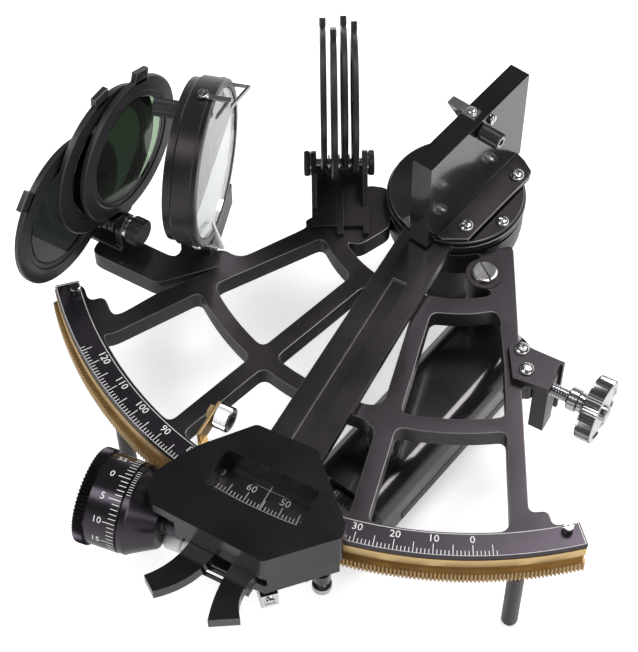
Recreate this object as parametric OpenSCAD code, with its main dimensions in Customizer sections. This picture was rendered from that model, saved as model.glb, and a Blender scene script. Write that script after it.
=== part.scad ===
// Marine sextant: a lattice frame with a graduated arc, an index arm that is driven
// by a worm and a micrometer drum, two mirrors, seven shades and a lit handle.
// The arc faces up and lies toward -Y. The origin is the centre of the pivot leg's
// foot on the table, on the axis of the index arm. Sizes in mm.

/* [Arc] */
// Height of the arc's face above the table
limb_top = 54; // [53:0.5:60]
// Outer radius of the silvered arc face
arc_r = 160; // [159:0.5:161]
// Radial width of the arc face
arc_w = 9; // [8:0.5:10]
// Half of the angle that the arc covers
arc_half = 44.4; // [43.5:0.3:45.3]
// Thickness of the arc plate
arc_t = 2; // [1.6:0.2:2]
// Depth of the brass rack under the arc plate
rack_depth = 12.7; // [12:0.1:13]
// Height of the toothed band on the rack
rack_band = 5.5; // [5:0.25:6]
// Tooth tips stand this far outside the arc face
rack_out = 2.3; // [2:0.1:2.4]
// Depth of a rack tooth
tooth_h = 1; // [0.8:0.1:1.2]

/* [Frame] */
// Thickness of the cast lattice
frame_t = 8; // [6:0.5:9]
// Lattice face below the arc face
frame_drop = 2; // [2:0.1:2.4]
// Radius of the hub disc
hub_r = 27; // [26:0.5:27.5]
// Width of the middle ring
ring_w = 6.3; // [5:0.5:8]
// Mean radius of the middle ring
ring_r = 105.6; // [102:0.6:108]
// Width of the upper cross arc
cross_w = 7.4; // [6:0.5:8.5]
// Mean radius of the upper cross arc
cross_r = 51.5; // [50:0.5:53]
// Width of the two spokes
spoke_w = 7; // [5:0.5:9]
// Angle of each spoke from the middle
spoke_angle = 14.7; // [13:0.5:16]
// Height of the mirror wing above the lattice underside
wing_t = 7; // [5:0.5:7.5]

/* [Legs and handle] */
// Diameter of the two arc legs
leg_d = 6.2; // [5:0.2:7]
// Diameter of the pivot leg
foot_d = 22; // [21:0.5:26]
// Width of the handle
grip_w = 34; // [32:0.5:36]
// Depth of the handle
grip_d = 28; // [27:0.5:29]
// Length of the handle
grip_len = 96; // [94:1:100]
// Length of the posts that carry the handle
post_len = 12; // [11:0.5:13]
// Diameter of a battery cell
cell_d = 17; // [14:0.5:17]
// Length of a battery cell
cell_len = 34; // [30:1:36]

/* [Index arm] */
// Angle of the index arm at rest
arm_rest = 2.5; // [-2:0.5:6]
// Gap between the arm and the arc face
arm_lift = 0.5; // [0.4:0.1:0.8]
// Thickness of the arm
arm_t = 4.1; // [3.5:0.1:4.5]
// Half width of the arm at the hub
arm_half_hub = 10; // [9:0.5:10.5]
// Half width of the arm at the housing
arm_half_end = 11.2; // [10.6:0.2:11.6]
// Radius of the arm's head disc
head_r = 27.4; // [26.8:0.2:28]
// Radius of the mirror table
table_r = 26.6; // [26:0.2:26.6]
// Thickness of the mirror table
table_t = 2; // [1.6:0.2:2.2]
// Radius of the index shaft
shaft_r = 6; // [5:0.5:6.5]

/* [Index mirror] */
// Angle of the mirror to the arm
mirror_turn = -11.1; // [-14:0.5:-8]
// Length of the mirror frame
mirror_len = 61.5; // [60:0.5:62]
// Height of the mirror frame
mirror_h = 44.5; // [42:0.5:46]
// Thickness of the mirror frame
mirror_t = 8.6; // [7.6:0.2:9]
// Rim of the mirror frame around the glass
mirror_rim = 2; // [1.5:0.25:2.5]

/* [Horizon mirror] */
// Radius of the horizon glass
glass_r = 29; // [27:0.5:30]
// Rim around the horizon glass
glass_rim = 3; // [2.5:0.25:3.5]
// Depth of the horizon mirror ring
glass_depth = 10; // [8:0.5:10.5]
// Height of the mirror centre above the arc face
glass_z = 35.7; // [35:0.5:38]

/* [Shades] */
// Outer radius of a horizon shade
h_shade_r = 30; // [29:0.25:30.5]
// Radius of the horizon shade glass
h_filter_r = 21.6; // [19:0.4:23]
// Distance from the horizon shade pin to the shade centre
h_shade_l = 32.5; // [32:0.25:34]
// Spacing of the horizon shades
h_pitch = 3.2; // [3:0.1:3.5]
// Outer radius of an index shade
i_shade_r = 27.2; // [25.2:0.5:27.7]
// Radius of the index shade glass
i_filter_r = 19.6; // [17:0.4:21]
// Distance from the index shade pin to the shade centre
i_shade_l = 31.5; // [30:0.5:33]
// Spacing of the index shades
i_pitch = 4; // [3.4:0.1:4.1]
// Thickness of a shade ring
shade_t = 2.3; // [2:0.1:2.6]
// Radius of the shade pins
pin_r = 2; // [1.6:0.1:2.4]

/* [Micrometer] */
// Radius of the knurled rim of the drum
rim_r = 18; // [17.2:0.2:18.4]
// Radius of the graduated drum
drum_r = 17; // [16:0.2:17.2]
// Length of the drum with its rim
drum_len = 16.2; // [14:0.4:18]
// Radius of the worm over its threads
worm_r = 4.6; // [4.4:0.1:4.8]
// Angle of the worm axis to the arm
worm_turn = 7; // [6.5:0.25:7.5]
// Depth of the worm axis below the arc face
worm_drop = 12; // [11.5:0.1:12.2]
// Thickness of the squeeze levers
lever_t = 5; // [4:0.5:5]
// Thickness of the housing walls
wall_t = 2; // [1.6:0.2:2.2]
// Height of the housing above the arc face
cover_h = 10; // [9.5:0.5:11.5]
// Length of the reading window
window_l = 37; // [33:0.5:38]
// Width of the reading window
window_w = 16.5; // [14:0.5:17]

/* [Hidden] */
$fn = 64;
play = 0.05;
gap = 0.3;
limb_in = arc_r - arc_w;
rack_seat = arc_r - 3;
rack_tip = arc_r + rack_out;
rack_low = -arc_t - rack_depth;
frame_top = -frame_drop;
frame_low = frame_top - frame_t;
carriage_in = rack_tip + 1.3;
worm_axis = rack_tip + gap + worm_r;
arm_top = arm_lift + arm_t;
disc_top = arm_lift + 2.7;
table_top = disc_top + table_t;
window_c = [-0.5, -(arc_r - 3.4)];
glass_ring_r = glass_r + glass_rim;
h_pin = [-81, 7];
h_mid = -108.7;
h_angles = [67, 86, 129];
i_pin = [-46.5, -11.5, 6];
i_turn = 31;
i_angles = [79.5, 90, 77.5, 83.5];
i_tab_turn = -38;
pin_at = [6.5, 1];
neck_r = 5;
lamp_at = [-25, -arc_r + 25.2, 5.2];
base_top = -worm_drop - worm_r - 3.3;
grip_c = [29, -77.5];
grip_top = frame_low - post_len - 0.5;
grip_turn = -8.4;
cell_top = -grip_len / 2 + 5.5 + 2 * cell_len + 0.5;
post_at = [[26.4, -26.4, 6.5], [24, -103, 5]];
hub_low = frame_low - 4.5;
drum_out = -81.2;
drum_in = drum_out + drum_len;

function polar(r, a) = [r * cos(a), r * sin(a)];
function arc_pts(r, a0, a1, n) = [for (i = [0:n]) polar(r, a0 + (a1 - a0) * i / n)];
function bend(a, b, c, n) =
  [for (i = [0:n]) let (t = i / n) (1 - t) * (1 - t) * a + 2 * t * (1 - t) * b + t * t * c];
function unit(v) = v / norm(v);
// Counter-clockwise outline moved inward by d
function inset(p, d) = [for (i = [0:len(p) - 1])
  let (a = unit(p[i] - p[(i + len(p) - 1) % len(p)]),
       b = unit(p[(i + 1) % len(p)] - p[i]),
       m = [-a[1], a[0]],
       n = [-b[1], b[0]])
  p[i] + (m + n) * d / (1 + m * n)];
// Outline of the housing in the arm's own axes, with the outer end following the arc
function cover_outline() = [for (p = [[-31.7, -20], [13.6, -22.1], [33.2, -1.5],
  [32.7, 3.1], [9.5, 25.9], [-14.7, 25.5], [-29, 8], [-36, -6], [-37, -13]])
  [p[0], p[1] - arc_r]];

// Axes with their origin on the arc face, over the pivot
module at_arc() translate([0, 0, limb_top]) children();
module on_arm() at_arc() rotate([0, 0, arm_rest]) children();
// Axes along the worm, with its meshing point at the origin
module on_worm() on_arm() rotate([0, 0, worm_turn])
  translate([0, -worm_axis, -worm_drop]) children();
module on_mirror() on_arm() rotate([0, 0, mirror_turn]) children();
// Axes at the front centre of the horizon glass, x toward its front
module on_horizon() at_arc() translate([-73, -57, glass_z]) rotate([0, 0, 18]) children();
module on_grip() at_arc() translate([grip_c[0], grip_c[1], grip_top - grip_d / 2])
  rotate([0, 0, grip_turn]) children();
module on_h_pin() at_arc() translate([h_mid, h_pin[0], h_pin[1]]) children();
module on_i_pin() at_arc() translate(i_pin) rotate([0, 0, i_turn]) children();
// Cylinder along x from x0 to x1
module rod_x(x0, x1, r) translate([x0, 0, 0]) rotate([0, 90, 0]) cylinder(h = x1 - x0, r = r);
module cone_x(x0, x1, r0, r1) translate([x0, 0, 0]) rotate([0, 90, 0])
  cylinder(h = x1 - x0, r1 = r0, r2 = r1);
module block(x, y, z) translate([x[0], y[0], z[0]])
  cube([x[1] - x[0], y[1] - y[0], z[1] - z[0]]);
module slab(points, z0, z1) translate([0, 0, z0]) linear_extrude(z1 - z0) polygon(points);
// Part of a ring, centred on -Y
module ring_arc(r0, r1, half, z0, z1) rotate([0, 0, -90 - half])
  rotate_extrude(angle = 2 * half) translate([r0, z0]) square([r1 - r0, z1 - z0]);
// Round head with a screwdriver slot
module slot_head(r, h, slot = 0.8) difference() {
  cylinder(h = h, r = r);
  translate([-r - 1, -slot / 2, h - 0.7]) cube([2 * r + 2, slot, 1]);
}
// Round head with a cross recess
module cross_head(r, h) difference() {
  union() {
    cylinder(h = h * 0.55, r = r);
    translate([0, 0, h * 0.55]) cylinder(h = h * 0.45, r1 = r, r2 = r * 0.68);
  }
  for (a = [45, 135]) rotate([0, 0, a]) translate([-r * 0.55, -0.45, h - 0.9])
    cube([r * 1.1, 0.9, 1]);
}

// Flat part of a ring, centred on -Y
module ring_flat(r0, r1, half) difference() {
  intersection() {
    circle(r = r1);
    polygon([[0, 0], polar(2 * r1, -90 - half), [0, -2.5 * r1], polar(2 * r1, -90 + half)]);
  }
  circle(r = r0);
}
// Outline of the cast lattice: hub, two side arms, two spokes, rings and arc band
module lattice_flat() {
  arm_right = [[29.5, -8], [88.8, -113.2], [97, -119], [86, -124], [83.1, -116.5], [44.6, -46.5],
    [20, -18]];
  arm_left = [[-28, -10], [-20, -18], [-37, -43], [-58.5, -79], [-66, -93], [-81, -121],
    [-86, -125], [-97, -120], [-84, -112], [-77.5, -97], [-58, -65], [-43, -38]];
  patch = [[-16, -24], [-22, -38], [-41, -42], [-47, -38], [-36, -20], [-35, -10], [-27, -7]];
  pad = [[42, -44], [50.1, -51], [54, -48], [66, -49], [66, -64.5], [58.3, -67], [52, -60]];
  circle(r = hub_r);
  ring_flat(cross_r - cross_w / 2, cross_r + cross_w / 2, 47);
  ring_flat(ring_r - ring_w / 2, ring_r + ring_w / 2, 38.7);
  ring_flat(limb_in - 1.5, rack_seat, arc_half - 0.2);
  for (s = [-1, 1]) rotate([0, 0, s * spoke_angle])
    translate([-spoke_w / 2, -limb_in]) square([spoke_w, limb_in - cross_r]);
  for (s = [-1, 1]) rotate([0, 0, s * 38.6]) translate([-6, -limb_in]) square([12, 8]);
  intersection() {
    circle(r = rack_seat - 1);
    union() {
      polygon(arm_right);
      polygon(arm_left);
    }
  }
  polygon(patch);
  polygon(pad);
  for (p = post_at) translate([p[0], p[1]]) circle(r = p[2] + 0.8);
}
// Cast lattice with the mirror wing, the deep hub and the boss of the upper post
module frame_casting() color([0.09, 0.09, 0.1]) at_arc() {
  wing = [[-111, -79], [-111, -91], [-108.5, -93], [-80, -93], [-62, -72], [-58, -65],
    [-62, -66.5], [-66, -66], [-79, -74.5], [-82, -79]];
  difference() {
    union() {
      translate([0, 0, frame_low]) linear_extrude(frame_t) lattice_flat();
      slab(wing, frame_top - wing_t, frame_top);
      translate([-73, -57, frame_top - wing_t]) rotate([0, 0, 18])
        translate([-13, -18, 0]) cube([12, 40, wing_t]);
      translate([post_at[0][0], post_at[0][1], frame_top - 1]) cylinder(h = 1.6, r = 7.3);
      translate([0, 0, hub_low]) cylinder(h = frame_low - hub_low + 1, r = hub_r - 0.5);
    }
    translate([0, 0, hub_low - 1]) cylinder(h = 30, r = shaft_r + 3);
  }
}
// Brass rack round the outside of the arc, one tooth for each degree of reading
module arc_rack() color([0.75, 0.55, 0.25]) at_arc() {
  root = rack_tip - tooth_h;
  lip = arc_r + 0.7;
  half = arc_half - 0.15;
  teeth = floor(2 * half / 0.5);
  band_top = rack_low + rack_band;
  ring_arc(rack_seat, rack_seat + 2, half, rack_low, -arc_t);
  rotate([0, 0, -90 - half]) rotate_extrude(angle = 2 * half) polygon([
    [rack_seat + 1, band_top], [lip - 0.9, band_top], [lip - 1.3, band_top + 1.2],
    [lip, band_top + 2.6], [lip, -arc_t], [rack_seat + 1, -arc_t]]);
  slab(concat(arc_pts(rack_seat + 1.5, -90 + half - 0.01, -90 - half + 0.01, 48),
    [for (i = [0:teeth - 1]) let (a = -90 - teeth / 4 + i / 2)
      each [polar(root, a), polar(rack_tip, a + 0.17), polar(rack_tip, a + 0.33),
        polar(root, a + 0.5)]]), rack_low, band_top);
}
// Engraved arc plate, chamfered along its outer edge
module limb_scale() color([0.07, 0.07, 0.08]) at_arc()
  rotate([0, 0, -90 - arc_half]) rotate_extrude(angle = 2 * arc_half) polygon([
    [limb_in, -arc_t], [limb_in, 0], [arc_r, 0], [arc_r + 0.4, -0.8], [arc_r + 0.4, -arc_t]]);
// Two turned legs under the arc, each on a small block in the angle of the rack
module legs() color([0.1, 0.1, 0.11]) for (a = [-54, -113.5]) rotate([0, 0, a + 90]) {
  translate([0, -(arc_r - 2.5), 0]) cylinder(h = 1, r1 = leg_d / 2 - 1, r2 = leg_d / 2);
  translate([0, -(arc_r - 2.5), 1]) cylinder(h = limb_top + rack_low - 1, r = leg_d / 2);
  block([-4, 4], [-rack_seat + 0.3, -rack_seat + 7], [limb_top + rack_low, limb_top + frame_low]);
}
// Pivot leg, a cup that closes the bottom of the index bearing
module pivot_foot() color([0.1, 0.1, 0.11]) difference() {
  union() {
    cylinder(h = limb_top - 24, r = foot_d / 2);
    cylinder(h = 3, r = foot_d / 2 + 1);
  }
  translate([0, 0, limb_top - 30]) cylinder(h = 10, r = shaft_r + 3);
  translate([0, 0, limb_top - 36]) cylinder(h = 10, r = shaft_r + 2.6);
}
// Bronze bush in the hub, in which the index shaft turns
module index_bearing() color([0.62, 0.47, 0.25]) at_arc() difference() {
  union() {
    translate([0, 0, -30]) cylinder(h = 30 + frame_top, r = shaft_r + 3);
    translate([0, 0, hub_low - 4]) cylinder(h = 4, r = shaft_r + 8);
  }
  translate([0, 0, -31]) cylinder(h = 40, r = shaft_r + play);
}
module grip_section() {
  c = 8;
  square([grip_w - 2 * c, grip_d], center = true);
  square([grip_w, grip_d - 2 * c], center = true);
  for (x = [-1, 1], z = [-1, 1])
    translate([x * (grip_w / 2 - c), z * (grip_d / 2 - c)]) circle(r = c);
}
module grip_solid() {
  translate([0, grip_len / 2, 0]) rotate([90, 0, 0]) linear_extrude(grip_len) grip_section();
}
// Saddles on which the posts stand
module grip_saddles() for (p = post_at) rotate([0, 0, -grip_turn])
  translate([p[0] - grip_c[0], p[1] - grip_c[1], grip_d / 2 - 9]) cylinder(h = 9.5, r = 7.5);
module grip_hollow() {
  bore = cell_d / 2 + 0.3;
  top = cell_top + 4;
  translate([0, top, 0]) rotate([90, 0, 0]) cylinder(h = top + grip_len / 2 + 12, r = bore);
  translate([grip_w / 2 - 8, 34, 3]) rod_x(0, 20, 5 + gap);
}
// Handle half next to the frame
module handle_front() color([0.04, 0.04, 0.045]) on_grip() difference() {
  union() {
    intersection() {
      grip_solid();
      block([-40, 40], [-80, 80], [0, 40]);
    }
    grip_saddles();
  }
  grip_hollow();
}
// Outer handle half with the finger ribs
module handle_back() color([0.04, 0.04, 0.045]) on_grip() difference() {
  union() {
    intersection() {
      grip_solid();
      block([-40, 40], [-80, 80], [-40, 0]);
    }
    for (i = [0:3]) translate([grip_w / 2 - 0.5, -36, -2.6 - i * 1.1]) rotate([-90, 0, 0])
      cylinder(h = 66, r = 0.9);
  }
  grip_hollow();
}
// Two posts between the lattice and the handle
module handle_posts() color([0.12, 0.12, 0.13]) at_arc() for (p = post_at)
  translate([p[0], p[1], grip_top + 0.5]) difference() {
    cylinder(h = post_len, r = p[2]);
    translate([0, 0, -1]) cylinder(h = post_len + 2, r = 2.5);
  }
// Slotted screw of the upper post, the stop screws of the arc and the bracket screws
module frame_screws() color([0.75, 0.75, 0.76]) at_arc() {
  translate([post_at[0][0], post_at[0][1], frame_top + 0.6]) rotate([0, 0, -36]) slot_head(5, 1.5, 1.2);
  for (s = [-1, 1]) rotate([0, 0, s * 42.5]) translate([0, -(arc_r - 6.8), 0]) {
    cylinder(h = 1.6, r = 1.5);
    translate([0, 0, 1.6]) slot_head(2, 1.6, 0.6);
  }
  for (p = [[55.5, -52.9], [61.1, -60.1]]) translate([p[0], p[1], 1]) cross_head(2.9, 1.7);
}
// Two cells end to end in the handle
module batteries() color([0.2, 0.35, 0.55]) on_grip() for (i = [0, 1])
  translate([0, cell_top - i * (cell_len + 0.5), 0]) rotate([90, 0, 0]) union() {
    cylinder(h = cell_len, r = cell_d / 2);
    translate([0, 0, -0.4]) cylinder(h = 1, r = 3);
  }
// Knurled cap that closes the battery bore
module battery_cap() color([0.1, 0.1, 0.11]) on_grip() {
  translate([0, -grip_len / 2 - gap, 0]) rotate([90, 0, 0]) cylinder(h = 5, r = 11.5);
  translate([0, -grip_len / 2 + 3, 0]) rotate([90, 0, 0])
    cylinder(h = 4, r = cell_d / 2 + 0.3 - play);
}
// Push button of the reading lamps
module light_button() color([0.55, 0.05, 0.05]) on_grip()
  translate([grip_w / 2 - 6, 34, 3]) rod_x(0, 8, 5);
// Dovetail block that takes the telescope
module telescope_bracket() color([0.08, 0.08, 0.09]) at_arc() difference() {
  union() {
    slab([[58.3, -65.9], [72, -64], [72, -50.2], [53.1, -50.7], [50.1, -53]], frame_top, 1);
    block([66, 72], [-64, -50.2], [-27, frame_top]);
  }
  block([70.6, 73], [-56.5, -51.8], [-28, 2]);
  translate([0, -60, -4]) rod_x(66.5, 73, 2.5 + play);
}
// Thumb screw that locks the telescope in its slide
module clamp_screw() color([0.8, 0.8, 0.8]) at_arc() translate([0, -60, -4]) {
  rod_x(67, 79.5, 2.5);
  rod_x(79, 87, 4.5);
  rod_x(86.5, 93, 12.5);
  rod_x(93, 94.6, 3.2);
}
// Foot and back plate of the horizon mirror
module horizon_bracket() color([0.08, 0.08, 0.09]) on_horizon() difference() {
  back = -glass_depth;
  union() {
    block([back - 3, -1], [-14, 20], [frame_top - glass_z, frame_top - glass_z + 3]);
    block([back - 3, back], [-14, 20], [frame_top - glass_z, -20]);
    rod_x(back - 3, back, glass_ring_r - 1);
  }
  translate([0, 0, 26.3]) rod_x(back - 4, 1, 1.6);
  translate([0, 22, 0]) rod_x(back - 4, 1, 1.6);
}
// Round cell that holds the horizon glass
module horizon_ring() color([0.08, 0.08, 0.09]) on_horizon() difference() {
  rod_x(-glass_depth, 0, glass_ring_r);
  rod_x(-3.5, 1, glass_r);
  rod_x(-glass_depth - 1, 0, glass_r - 2.5);
  translate([0, 0, 26.3]) rod_x(-glass_depth - 1, -6, 2);
}
// Horizon glass, silvered on the side next to the frame
module horizon_glass() color([0.75, 0.82, 0.8]) on_horizon() rod_x(-3.5, -0.5, glass_r);
// Bent spring that starts on the rim, leaves it forward and comes back to the glass
module spring_clip(w, back, reach, drop) translate([0, w / 2, 0]) rotate([90, 0, 0])
  linear_extrude(w) polygon([[-back, 0], [-back, 0.8], [reach, 0.8], [0.7, -drop], [0, -drop],
    [0, -drop + 1], [reach - 2, 0]]);
// Three spring clips of the horizon mirror with their screws
module horizon_clips() color([0.8, 0.8, 0.8]) on_horizon() for (a = [84, 20, 236])
  rotate([a - 90, 0, 0]) translate([0, 0, glass_ring_r]) {
    spring_clip(2.6, 6.5, 7, glass_rim + 6);
    translate([-4.4, 0, 0.8]) slot_head(2.1, 1.4, 0.6);
    block([-0.5, 0], [-1.3, 1.3], [-glass_rim - 6, -glass_rim - 4]);
  }
// Upper adjusting barrel of the horizon mirror
module horizon_adjuster_top() color([0.1, 0.1, 0.11]) on_horizon()
  translate([-glass_depth - 3, 0, 26.3]) {
    rod_x(-9.5, -gap, 3.5);
    rod_x(-1, 4.5, 1.5);
  }
// Side adjusting barrel of the horizon mirror
module horizon_adjuster_side() color([0.1, 0.1, 0.11]) on_horizon()
  translate([-glass_depth - 3, 22, 0]) {
    rod_x(-6.5, -gap, 3.2);
    rod_x(-1, 3, 1.5);
  }
// U bracket of the horizon shades
module horizon_shade_bracket() color([0.08, 0.08, 0.09]) on_h_pin() difference() {
  low = frame_top - h_pin[1];
  union() {
    block([-8.8, 8.4], [-6.5, 6.5], [low, low + 1.5]);
    for (x = [[-8.8, -6.3], [5.7, 8.4]]) {
      block(x, [-5, 5], [low, 0]);
      rod_x(x[0], x[1], 5);
    }
  }
  rod_x(-20, 20, pin_r);
}
// Shade pin with its nut, washers and knurled friction knob
module horizon_shade_pin() color([0.7, 0.7, 0.72]) on_h_pin() {
  rod_x(-10.5, 15.7, pin_r);
  rod_x(-10.5, -8.8, 4);
  rod_x(8.4, 10.2, 4.6);
  rod_x(10.2, 15.7, 5.6);
  for (s = [-1, 1]) translate([s * h_pitch / 2, 0, 0]) rod_x(-0.15, 0.15, 3.6);
}
// Shade ring with its ear and finger tab, lying along +Y from the pin
module shade_ring(outer, filter, reach, tab_turn = 0) difference() {
  union() {
    translate([0, reach, 0]) rod_x(-shade_t / 2, shade_t / 2, outer);
    rod_x(-shade_t / 2, shade_t / 2, pin_r + 2.6);
    translate([0, reach, 0]) rotate([tab_turn, 0, 0])
      block([-shade_t / 2, shade_t / 2], [outer - 2, outer + 3.4], [-4, 4]);
    block([-shade_t / 2, shade_t / 2], [0, reach - filter - 3], [-5.5, 5.5]);
  }
  translate([0, reach, 0]) rod_x(-5, 5, filter);
  rod_x(-5, 5, pin_r + play);
}
module shade_filter(filter, reach) translate([0, reach, 0])
  rod_x(-shade_t / 2 + 0.4, shade_t / 2 - 0.4, filter);
module on_h_shade(i) on_h_pin() translate([(2 - i) * h_pitch, 0, 0])
  rotate([h_angles[i - 1], 0, 0]) children();
module on_i_shade(i) on_i_pin() translate([(i - 2.5) * i_pitch, 0, 0])
  rotate([i_angles[i - 1], 0, 0]) children();
module horizon_shade(i) color([0.06, 0.06, 0.07]) on_h_shade(i)
  shade_ring(h_shade_r, h_filter_r, h_shade_l);
module horizon_filter(i) color([0.1, 0.3, 0.2, 0.8]) on_h_shade(i)
  shade_filter(h_filter_r, h_shade_l);
module index_shade(i) color([0.06, 0.06, 0.07]) on_i_shade(i)
  shade_ring(i_shade_r, i_filter_r, i_shade_l, i_tab_turn);
module index_filter(i) color([0.1, 0.3, 0.2, 0.8]) on_i_shade(i)
  shade_filter(i_filter_r, i_shade_l);
// U bracket of the index shades with a low rib between its sides
module index_shade_bracket() color([0.08, 0.08, 0.09]) on_i_pin() difference() {
  low = frame_top - i_pin[2];
  side = 2 * i_pitch + 1;
  union() {
    block([-side - 2, side + 2], [-27, 4], [low, low + 2]);
    block([-1.3, 1.3], [-31, -8], [low, low + 2.1]);
    for (p = [[-side, -21], [side + 2, -31]]) translate([p[0], 0, 0]) rotate([0, -90, 0])
      rotate([0, 0, 90]) linear_extrude(2) polygon([[p[1], -low], [0, -low], [0, -5], [-10, -5],
        [-18, -low - 2.1], [p[1], -low - 2.1]]);
    for (x = [-side - 2, side]) rod_x(x, x + 2, 5);
  }
  rod_x(-30, 30, pin_r);
}
// Pin of the index shades with a knob at each end
module index_shade_pin() color([0.7, 0.7, 0.72]) on_i_pin() {
  side = 2 * i_pitch + 1;
  rod_x(-side - 4.9, side + 4.9, pin_r);
  for (x = [-side - 4.9, side + 2]) rod_x(x, x + 2.9, 5);
  for (i = [-1, 0, 1]) translate([i * i_pitch, 0, 0]) rod_x(-0.3, 0.3, 3.6);
}
// Index arm: head disc, tapered bar with a long groove
module index_arm() color([0.09, 0.09, 0.1]) on_arm() difference() {
  tail = window_c[1] + window_w / 2 + 1.5;
  union() {
    translate([0, 0, arm_lift]) cylinder(h = disc_top - arm_lift, r = head_r);
    slab([[-arm_half_hub, -15], [-arm_half_end, tail], [arm_half_end, tail],
      [arm_half_hub, -15]], arm_lift, arm_top);
  }
  translate([0, 0, disc_top]) cylinder(h = 10, r = table_r);
  block([-3, 3], [-132, -50], [arm_top - 1, arm_top + 1]);
  translate([0, 0, -1]) cylinder(h = 10, r = shaft_r - 1);
}
// Index shaft with its washer under the bush
module index_shaft() color([0.7, 0.7, 0.72]) at_arc() {
  translate([0, 0, -30.5]) cylinder(h = 30.5 + arm_lift, r = shaft_r);
  translate([0, 0, arm_lift]) cylinder(h = disc_top - arm_lift, r = shaft_r - 1);
  translate([0, 0, -33.3]) cylinder(h = 3, r = shaft_r + 2);
}
// Round table on the head of the arm
module index_table() color([0.1, 0.1, 0.11]) on_arm()
  translate([0, 0, disc_top]) cylinder(h = table_t, r = table_r);
// Foot plate behind the index mirror
module mirror_foot() color([0.09, 0.09, 0.1]) on_mirror() {
  slab([[0.6, -24], [8, -24.1], [19.4, -16.5], [19.4, 17], [mirror_t, 24.2], [0.6, 24.5]],
    table_top, table_top + 0.8);
  slab([[mirror_t, -25], [11.6, -25.1], [19.4, -18.9], [19.7, 20.9], [18.4, 24.4], [13.1, 27.3],
    [mirror_t, 28.7]], table_top + 0.8, table_top + 2.7);
}
// Frame of the index mirror, open toward -X
module mirror_frame() color([0.07, 0.07, 0.08]) on_mirror() difference() {
  low = table_top + 0.8;
  block([0, mirror_t], [-mirror_len / 2, mirror_len / 2], [low, low + mirror_h]);
  block([-1, 3], [-mirror_len / 2 + mirror_rim, mirror_len / 2 - mirror_rim],
    [low + 1.2, low + mirror_h - 1.2]);
  translate([0, 0, low + mirror_h - 5]) rod_x(3.9, 12, 1.6);
}
// Index mirror, its silvered face on the axis of the arm
module mirror_glass() color([0.8, 0.85, 0.86]) on_mirror() {
  low = table_top + 0.8;
  block([0, 3], [-mirror_len / 2 + mirror_rim, mirror_len / 2 - mirror_rim],
    [low + 1.2, low + mirror_h - 1.2]);
}
// Clips over the mirror edge and the screws of the mirror and its foot
module mirror_clips() color([0.8, 0.8, 0.8]) on_mirror() {
  low = table_top + 0.8;
  high = low + mirror_h;
  translate([0, 1.5, high]) mirror([1, 0, 0]) spring_clip(4.4, 6, 8, 5);
  translate([3, 1.5, high + 0.8]) cross_head(1.9, 1.1);
  for (s = [-1, 1]) {
    block([-0.9, 0], [s * 26 - 1.6, s * 26 + 1.6], [low - 0.6, low + 4]);
    slab([[0, s * 22], [-1, s * 28], [-7.6, s * 25.8], [-5.6, s * 19]], table_top, low);
    translate([-4.6, s * 22.4, low]) cylinder(h = 2.4, r = 1.3);
  }
  translate([14.7, -14.2, table_top + 2.7]) cross_head(3, 1.8);
  translate([15.2, 18.8, table_top + 2.7]) cross_head(3, 1.8);
  translate([23.3, -1.8, table_top]) cross_head(2.6, 1.6);
  translate([mirror_t, 6.4, high - 4]) rod_x(0, 1.4, 2);
}
// Adjusting barrel on the back of the index mirror
module mirror_adjuster() color([0.1, 0.1, 0.11]) on_mirror()
  translate([mirror_t, 0, table_top + 0.8 + mirror_h - 5]) difference() {
    union() {
      rod_x(gap, 9.3, 3.3);
      rod_x(-4, 1, 1.5);
    }
    rod_x(6.5, 10, 1.4);
  }
// Space in which the cone and the neck swing when they are released
module worm_room() on_worm() block([-70, -44], [-30, 16.5], [-22, 5.4 + worm_drop]);
// Cover of the reading window, worm and drum bearing
module housing_cover() color([0.09, 0.09, 0.1]) difference() {
  on_arm() union() {
    difference() {
      slab(cover_outline(), -6, cover_h);
      slab(inset(cover_outline(), wall_t), -7, cover_h - wall_t);
      translate([0, 0, -8]) cylinder(h = 8 + arm_lift, r = carriage_in, $fn = 128);
    }
    translate([window_c[0], window_c[1], arm_lift]) translate([-window_l / 2 - 1.5, -window_w / 2 - 1.5, 0])
      cube([window_l + 3, window_w + 3, cover_h - wall_t - arm_lift + 0.5]);
  }
  on_arm() {
    block([window_c[0] - window_l / 2, window_c[0] + window_l / 2],
      [window_c[1] - window_w / 2, window_c[1] + window_w / 2], [-1, 20]);
    arm_w = arm_half_end;
    block([-arm_w, arm_w], [-arc_r + 13, -arc_r + 30], [-1, arm_top]);
    block([-19.2, -0.4], [-arc_r - 30, -arc_r - 14], [-7, -2.6]);
    block([-0.5, 14.4], [-arc_r - 30, -arc_r - 12], [-7, -3]);
    rotate([0, 0, worm_turn]) translate([pin_at[0], -worm_axis + pin_at[1], -20])
      cylinder(h = 20 + cover_h - wall_t, r = 1.8);
  }
  worm_room();
}
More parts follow.
